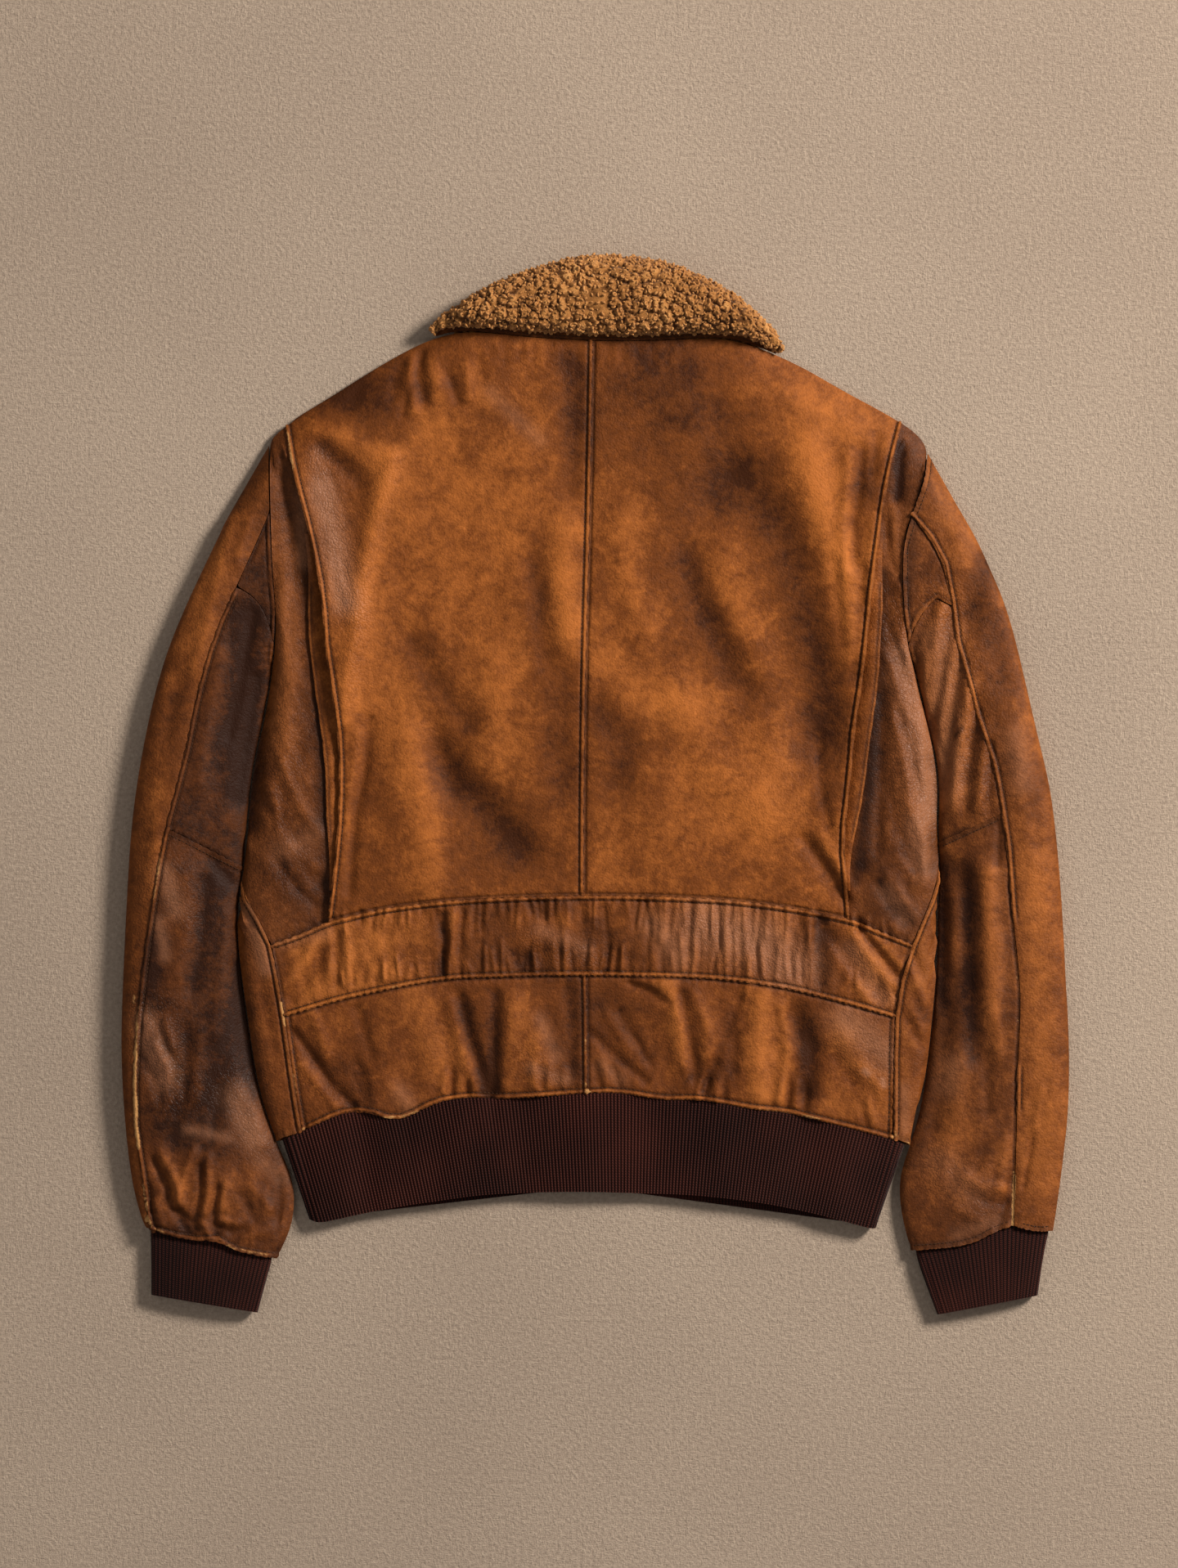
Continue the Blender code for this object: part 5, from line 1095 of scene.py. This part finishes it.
# Painted shade: near black in the valley where each sleeve dips under the body's edge, and at the right
# armhole.
SLEEVE_SHADE = [
    (8, 0.55, (318, 830), (300, 930), (294, 1040)), (9, 0.6, (292, 1080), (296, 1200), (312, 1340)),
    (7, 0.4, (1146, 1050), (1144, 1250)), (5, 0.5, (1118, 640), (1108, 740)),
]
PARTS = [
    ("outer", "sleeve_outer"), ("under", "sleeve_upper"), ("under", "sleeve_lower"), ("under", "gusset"),
]
FLATS = {
    "sleeve_outer_left": ((0.130, 0.620), 0.050), "sleeve_outer_right": ((0.140, 0.620), 0.060),
    "sleeve_upper_left": ((0.120, 0.215), 0.0163), "sleeve_upper_right": ((0.115, 0.200), 0.0130),
    "sleeve_lower_left": ((0.150, 0.330), 0.0395), "sleeve_lower_right": ((0.140, 0.335), 0.0355),
    "gusset_left": ((0.028, 0.100), 0.00125), "gusset_right": ((0.037, 0.100), 0.00205),
}
# The seams of each sleeve piece: a spot on the seam, its ridge's rise, and whether it is stitched.
SLEEVE_SEAMS = {
    "sleeve_outer_left": [
        ((212, 980), 0.0013, True), ((166, 1300), 0.0013, True), ((178, 1500), 0.0006, False),
    ],
    "sleeve_outer_right": [
        ((1177, 813), 0.0013, True), ((1245, 1258), 0.0013, True), ((1252, 1501), 0.0009, True),
        ((1128, 593), 0.0009, True),
    ],
    "sleeve_upper_left": [
        ((240, 870), 0.0012, True), ((253, 1036), 0.0, False), ((334, 794), 0.0006, False),
    ],
    "sleeve_upper_right": [
        ((1195, 880), 0.0, False), ((1183, 1013), 0.0, False), ((1113, 802), 0.0006, False),
    ],
    "sleeve_lower_left": [
        ((165, 1326), 0.0014, True), ((253, 1037), 0.0009, True), ((266, 1513), 0.0011, True),
    ],
    "sleeve_lower_right": [
        ((1244, 1258), 0.0, False), ((1183, 1014), 0.0009, True), ((1173, 1521), 0.0011, True),
    ],
    "gusset_left": [((333, 706), 0.0007, False), ((317, 658), 0.0, False)],
    "gusset_right": [((1104, 690), 0.0007, True), ((1154, 690), 0.0, False), ((1122, 751), 0.0005, False)],
}


def sleeve_relief(spots):
    """The folds of the sleeves, which are crumpled above the cuffs."""
    height = strokes(spots, SLEEVE_FOLDS)
    height += 0.55 * lumps(spots, 52, 100, 1.8, 5.0) + 0.32 * lumps(spots, 22, 110, 1.6, 6.0)
    return height + strokes(spots, SLEEVE_WRINKLED) * 0.55 * lumps(spots, 14, 100, 2.6, 7.0, ridged=True)


rows = []
for side in ("left", "right"):
    for look, node in PARTS:
        name = f"{node}_{side}"
        panel = Panel(f"{name}_hide", name)
        panel.relieve(sleeve_relief)
        for spot, rise, stitched in SLEEVE_SEAMS[name]:
            run = panel.run_near(*spot)
            if rise:
                panel.seam(run, rise=rise, light=0.28, worn=0.34)
            else:
                panel.seam(run, width=0.0007, rise=0.0, light=0.0)
            if stitched:
                rows.append((panel, run, STITCH_INSIDE))
        # The left sleeve is painted darker than the right and its under pieces darker still: partly the
        # leather's own colour, partly painted shade, as it lies away from the key light beside the body.
        shade = 0.52 if side == "right" else 0.43 if look == "outer" else 0.25
        polish = 0.20 if look == "outer" else 0.26
        marks = (SLEEVE_TONE, SLEEVE_GLOSS, SLEEVE_PAINTED_SHEEN, SLEEVE_WORN, SLEEVE_SHADE)
        paint_hide(panel, *marks, base=(shade, polish, 0.0))
        flat, area = FLATS[name]
        slot = "dark_leather" if name in ("sleeve_upper_right", "sleeve_lower_left") else "leather"
        panel.finish(sleeve_finish[look], slot, flat, area)
sew("sleeve_stitching", rows)


# Waistband
# One strip of rib knit from one side of the zip, round the back, to the other side.
KNIT_DARK, KNIT_LIGHT = (0.0050, 0.0011, 0.0007), (0.068, 0.0150, 0.0090)
RIB_PITCH = 0.0026
SOLID_RIB_PITCH = 0.0038
SOLID_RIB_RISE = 0.0008
RIB_RISE = 0.00045
COURSE_PITCH = 0.0019
BAND_MIDDLE_Y = 1425
BAND_DEPTH = 0.073


def knit_finish(name, lift=0.0):
    """Rib knit: each rib is a column of small Vs of wool, with painted shade in the hollow between ribs."""
    knit = Finish(name, Roughness=0.95, Specular_IOR_Level=0.12, Sheen_Weight=0.04, Sheen_Roughness=0.5)
    across = (knit.attribute("wale").fraction() - 0.5).size() * 2.0
    loops = ((knit.attribute("course") + across * 0.55) * (2 * math.pi)).sine() * 0.5 + 0.5
    crest = 1.0 - across.step(0.30, 1.0)
    fuzz = knit.noise(900.0, 3.0, 0.7)
    lint = (knit.noise(420.0, 4.0, 0.8) - 0.62).step(0.0, 0.12)
    # Painted shade between the ribs and painted light on the crests and loop tops, with fuzz, lint and a
    # broad random tone.
    shade = lift + crest * 0.42 + loops * crest * 0.45 + (fuzz - 0.5) * 0.7 + lint * 0.25
    shade = shade + (knit.noise(14.0, 2.0) - 0.5) * 1.1
    return knit.wear(
        Base_Color=knit.mixed(shade, KNIT_DARK, KNIT_LIGHT),
        Normal=knit.bump(loops * crest * 0.7 + fuzz * 0.5, 0.0010, 0.8),
    )


BAND_FOLDS = [
    (16, -1.6, (448, 1375), (452, 1470)), (16, 1.3, (420, 1380), (416, 1480)),
    (26, 1.2, (560, 1360), (560, 1460)), (24, -1.4, (640, 1350), (644, 1455)),
    (30, 1.4, (720, 1350), (720, 1450)), (24, -1.2, (800, 1350), (804, 1455)),
    (26, 1.2, (880, 1360), (884, 1460)), (20, -1.2, (985, 1375), (980, 1480)),
    (18, 1.0, (1030, 1385), (1026, 1490)), (9, -0.8, (500, 1360), (498, 1400)),
    (8, 0.8, (590, 1348), (590, 1385)), (8, -0.8, (606, 1345), (606, 1390)),
    (10, -1.5, (372, 1400), (380, 1490)),
]
band = Panel("waistband_knit", "waistband", 0, fine=1.0)
spots = band.spots()
wale = spots[:, 0] * PIXEL / RIB_PITCH
course = (BAND_MIDDLE_Y - spots[:, 1]) * PIXEL / COURSE_PITCH
for high in (True, False):
    row = np.where(band.seen & ((spots[:, 1] < BAND_MIDDLE_Y) == high))[0]
    order = np.arange(len(row))
    wale[row[np.argsort(spots[row, 0])]] = order / 2 * SOLID_RIB_PITCH / RIB_PITCH
    band.points[row[np.argsort(spots[row, 0])], 2] -= SOLID_RIB_RISE * ((order % 2) - 0.5)
    course[row] = (0.5 if high else -0.5) * round(BAND_DEPTH / COURSE_PITCH)
band.write()
band.paint("wale", wale)
band.paint("course", course)
finer = band.piece.modifiers.new("finer", "SUBSURF")
finer.levels = finer.render_levels = 2
only(band.piece)
bpy.ops.object.modifier_apply(modifier=finer.name)
del band.seen
band.read()
ribs = np.empty(len(band.points), np.float32)
band.piece.data.attributes["wale"].data.foreach_get("value", ribs)
band.points[:, 2] -= RIB_RISE * np.cos(ribs * 2 * math.pi) * band.seen
band.write()
band.relieve(lambda spots: strokes(spots, BAND_FOLDS) + 0.35 * lumps(spots, 60, 90, 1.6, 9.0))
band.finish(knit_finish("waistband_wool"), "knit", (0.950, 0.072), 0.0655)


# Cuffs
# Two tubes of the same rib knit, sewn inside the sleeves' hems.
CUFF_RIBS = 32
CUFF_COURSES = 28
CUFF_PLANS = {
    "left": [(-0.3365, -0.3390), (-0.2450, -0.3620), (-0.3360, -0.3860), (-0.2555, -0.3995)],
    "right": [(0.3430, -0.3410), (0.2430, -0.3560), (0.3350, -0.3865), (0.2590, -0.4010)],
}
for side, plan in CUFF_PLANS.items():
    cuff = Panel(f"cuff_knit_{side}", f"cuff_{side}", fine=0.0009)
    high_out, high_in, low_out, low_in = (np.array(corner) for corner in plan)
    across, along = np.full(len(cuff.points), 0.5), np.full(len(cuff.points), 0.5)
    for _ in range(8):
        start = high_out + np.outer(across, high_in - high_out)
        end = low_out + np.outer(across, low_in - low_out)
        down = end - start
        along = np.einsum("ij,ij->i", cuff.points[:, :2] - start, down) / np.einsum("ij,ij->i", down, down)
        first = high_out + np.outer(along, low_out - high_out)
        second = high_in + np.outer(along, low_in - high_in)
        over = second - first
        across = np.einsum("ij,ij->i", cuff.points[:, :2] - first, over) / np.einsum("ij,ij->i", over, over)
    cuff.paint("wale", across * CUFF_RIBS)
    cuff.paint("course", along * CUFF_COURSES)
    crests = -0.42 * np.cos(across * CUFF_RIBS * 2 * math.pi) * smooth(along / 0.1)
    cuff.points[:, 2] += 0.001 * crests * cuff.seen
    cuff.write()
    # The lift paints the cuffs darker than the waistband: painted shade.
    cuff.finish(knit_finish(f"cuff_wool_{side}", lift=-0.16), "knit", (0.190, 0.055), 0.0100)


# Collar
# A sheepskin fall with its curled pile outwards, on a leather stand, and two leaves in front that
# are pressed flat under the jacket.
CURL_GAP = 0.0060
CURL_RADIUS = 0.0048
CURL_RISE = 0.0031
CURL_TALL = 1.5
CURL_WARP = 0.0016
CURL_HOLLOW = 0.0022
SWIRL_PITCH = 0.0021
TUFT_GAP = 0.0030
TUFT_RING = 0.00105
TUFT_THICKNESS = 0.00084
WOOL_DARK, WOOL_MIDDLE, WOOL_LIGHT = (0.085, 0.028, 0.006), (0.520, 0.215, 0.058), (0.860, 0.440, 0.150)


def wool_finish(name, depth):
    """Curled wool, with painted shade in its hollows and painted light on its crests. The tufts have no depth
    of their own, only their fibres.
    """
    wool = Finish(name, Roughness=1.0, Specular_IOR_Level=0.08, Sheen_Weight=0.10, Sheen_Roughness=0.45)
    fibre = wool.noise(620.0, 4.0, 0.75, 2.0)
    shade = (fibre - 0.5) * 0.75 + (wool.noise(30.0, 3.0) - 0.5) * 0.5
    shade = shade + (wool.attribute("depth") if depth is None else depth)
    colour = wool.ramp(shade, [(0.0, WOOL_DARK), (0.55, WOOL_MIDDLE), (1.0, WOOL_LIGHT)])
    return wool.wear(Base_Color=colour, Normal=wool.bump(fibre, 0.0014, 0.9))


collar_wool = wool_finish("sheepskin_pile", None)
tuft_wool = wool_finish("sheepskin_tufts", 0.62)
draw = np.random.default_rng(7)


def scattered(points, gap):
    """Some of the points, drawn so that no two are closer than a gap."""
    kept, cells = [], {}
    for k in draw.permutation(len(points)):
        cell = tuple(np.floor(points[k] / gap).astype(int))
        near = [
            other for a in (-1, 0, 1) for b in (-1, 0, 1) for c in (-1, 0, 1)
            for other in cells.get((cell[0] + a, cell[1] + b, cell[2] + c), ())
        ]
        if all((points[k] - points[other]) @ (points[k] - points[other]) > gap * gap for other in near):
            kept.append(k)
            cells.setdefault(cell, []).append(k)
    return kept


def curl(panel):
    """Raises the pile in uneven curls, taller than wide, with gaps between them that are also painted dark as
    shade.
    """
    squeeze = np.array([1, 1 / CURL_TALL, 1])
    skin = np.where(panel.points[:, 2] > 0.0012)[0]
    places = panel.points[skin] * squeeze
    warp = np.array([[noise.noise(tuple(p * 260 + shift)) for shift in (0.0, 31.0)] for p in places])
    places[:, :2] += CURL_WARP * warp
    seeds = scattered(places, CURL_GAP)
    tree = KDTree(len(seeds))
    for k, seed in enumerate(seeds):
        tree.insert(places[seed], k)
    tree.balance()
    tints, sizes = draw.uniform(-0.14, 0.14, len(seeds)), draw.uniform(0.55, 1.0, len(seeds))
    spins = draw.uniform(0, 2 * math.pi, len(seeds))
    rise, depth = np.zeros(len(panel.points)), np.full(len(panel.points), 0.3)
    for k, place in zip(skin, places):
        (seed, first, near), (_, _, far) = tree.find_n(place, 2)
        way = place - np.array(seed)
        turn = math.atan2(way[1], way[0]) + spins[first]
        dome = math.sqrt(max(0.0, 1 - (near / CURL_RADIUS) ** 2))
        gap = smooth((far - near) / CURL_HOLLOW)
        swirl = 0.5 + 0.5 * math.sin(near * 2 * math.pi / SWIRL_PITCH + 2 * turn)
        rise[k] = CURL_RISE * sizes[first] * gap * (0.72 * dome + 0.28 * swirl)
        # Painted shade low in the gaps between curls, painted light on the curls' crowns and swirls, and a
        # random tint for each curl.
        depth[k] = -0.02 + 0.52 * gap * dome * sizes[first] + 0.22 * swirl * gap + tints[first]
    rise -= 0.35 * CURL_RISE * (rise > 0)
    panel.points += panel.normals * rise[:, None]
    panel.write()
    panel.paint("depth", depth)


def one_tuft():
    """A small ring of wool, which looks out of the pile as a curl."""
    bpy.ops.object.select_all(action="DESELECT")
    bpy.ops.mesh.primitive_torus_add(
        major_segments=7, minor_segments=4, major_radius=TUFT_RING, minor_radius=TUFT_THICKNESS
    )
    return taken(bpy.context.object)


def tufts(name, panel):
    """Loose curls all over the pile and round its outline."""
    high, upward = panel.points[:, 2], panel.normals[:, 2]
    open_skin = np.where((high > 0.003) & ((upward > 0.1) | (high > 0.006)))[0]
    frames = []
    for k in scattered(panel.points[open_skin], TUFT_GAP):
        point, normal = panel.points[open_skin[k]], panel.normals[open_skin[k]]
        aim = Vector(normal + draw.normal(0, 0.8, 3)).normalized()
        turn = aim.to_track_quat("Y", "Z").to_matrix() @ Matrix.Rotation(draw.uniform(0, 6.283), 3, "Y")
        size = draw.uniform(0.65, 1.2)
        frames.append((point - normal * 0.0002, np.array(turn.transposed()) * size))
    made = many(name, one_tuft(), frames)
    made.data.materials.append(tuft_wool)


collar = Panel("collar_pile", "collar_back", fine=0.0008)
curl(collar)
tufts("collar_tufts", collar)
collar.finish(collar_wool, "shearling")
for side in ("left", "right"):
    leaf = Panel(f"collar_leaf_{side}", f"collar_front_{side}", 3)
    curl(leaf)
    leaf.finish(collar_wool, "shearling")
stand = Panel("collar_stand_hide", "collar_stand")
stand.relieve(body_relief)
neck = stand.run_near(742, 417)
stand.seam(neck, width=0.0012, rise=0.0003, light=0.1)
sew("collar_stitching", [(stand, neck, 0.0022)])
paint_hide(stand, [], base=(0.34, 0.2, 0.0))
stand.finish(back_finish, "leather", (0.275, 0.012), 0.0032)


# Zip
# A woven tape behind the two front edges, closed, with its teeth and slider at the neck.
TOOTH_PITCH = 0.0024
TOOTH_SIZE = (0.0034, 0.0011, 0.0012)
TOOTH_ASIDE = 0.0011
tape = Panel("zip_tape_cloth", "zip_tape")
tape_finish = Finish("zip_tape_weave", Roughness=0.9)
lines = tape_finish.noise(1.0, 2.0, vector=tape_finish.stretched((1500, 400, 1)))
tape.finish(
    tape_finish.wear(
        Base_Color=tape_finish.mixed(lines, (0.020, 0.008, 0.006), (0.050, 0.020, 0.014)),
        Normal=tape_finish.bump(lines, 0.0003, 0.5),
    ),
    "knit",
    (0.024, 0.601),
)


def one_tooth():
    """One cast tooth of the zip, with its edges broken."""
    bpy.ops.object.select_all(action="DESELECT")
    bpy.ops.mesh.primitive_cube_add(size=1.0)
    tooth = bpy.context.object
    tooth.scale = TOOTH_SIZE
    bpy.ops.object.transform_apply(location=False, rotation=False, scale=True)
    bpy.ops.object.mode_set(mode="EDIT")
    bpy.ops.mesh.select_all(action="SELECT")
    bpy.ops.mesh.bevel(offset=0.0002, segments=1)
    bpy.ops.object.mode_set(mode="OBJECT")
    return taken(tooth)


brass = Finish("dull_brass", Metallic=1.0)
tarnish = brass.noise(300.0, 3.0)
brass.wear(
    Base_Color=brass.mixed(tarnish, (0.260, 0.180, 0.080), (0.500, 0.370, 0.180)),
    Roughness=0.30 + tarnish * 0.25,
)
tape_low, tape_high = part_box("zip_tape")
slider_low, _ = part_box("zip_slider")
teeth = []
for k in range(int((slider_low[1] - tape_low[1] - 0.004) / TOOTH_PITCH)):
    x = (tape_low[0] + tape_high[0]) / 2 + (TOOTH_ASIDE if k % 2 else -TOOTH_ASIDE)
    place = np.array([x, tape_low[1] + 0.003 + k * TOOTH_PITCH, tape_low[2] - 0.0004])
    teeth.append((np.maximum(place, [-1, -1, TOOTH_SIZE[2] / 2]), np.eye(3)))
zip_teeth = many("zip_teeth", one_tooth(), teeth)
zip_teeth.data.materials.append(brass.material)
slider = Panel("zip_slider_body", "zip_slider", 0, fine=1.0)
slider.finish(brass.material, "zip_metal")
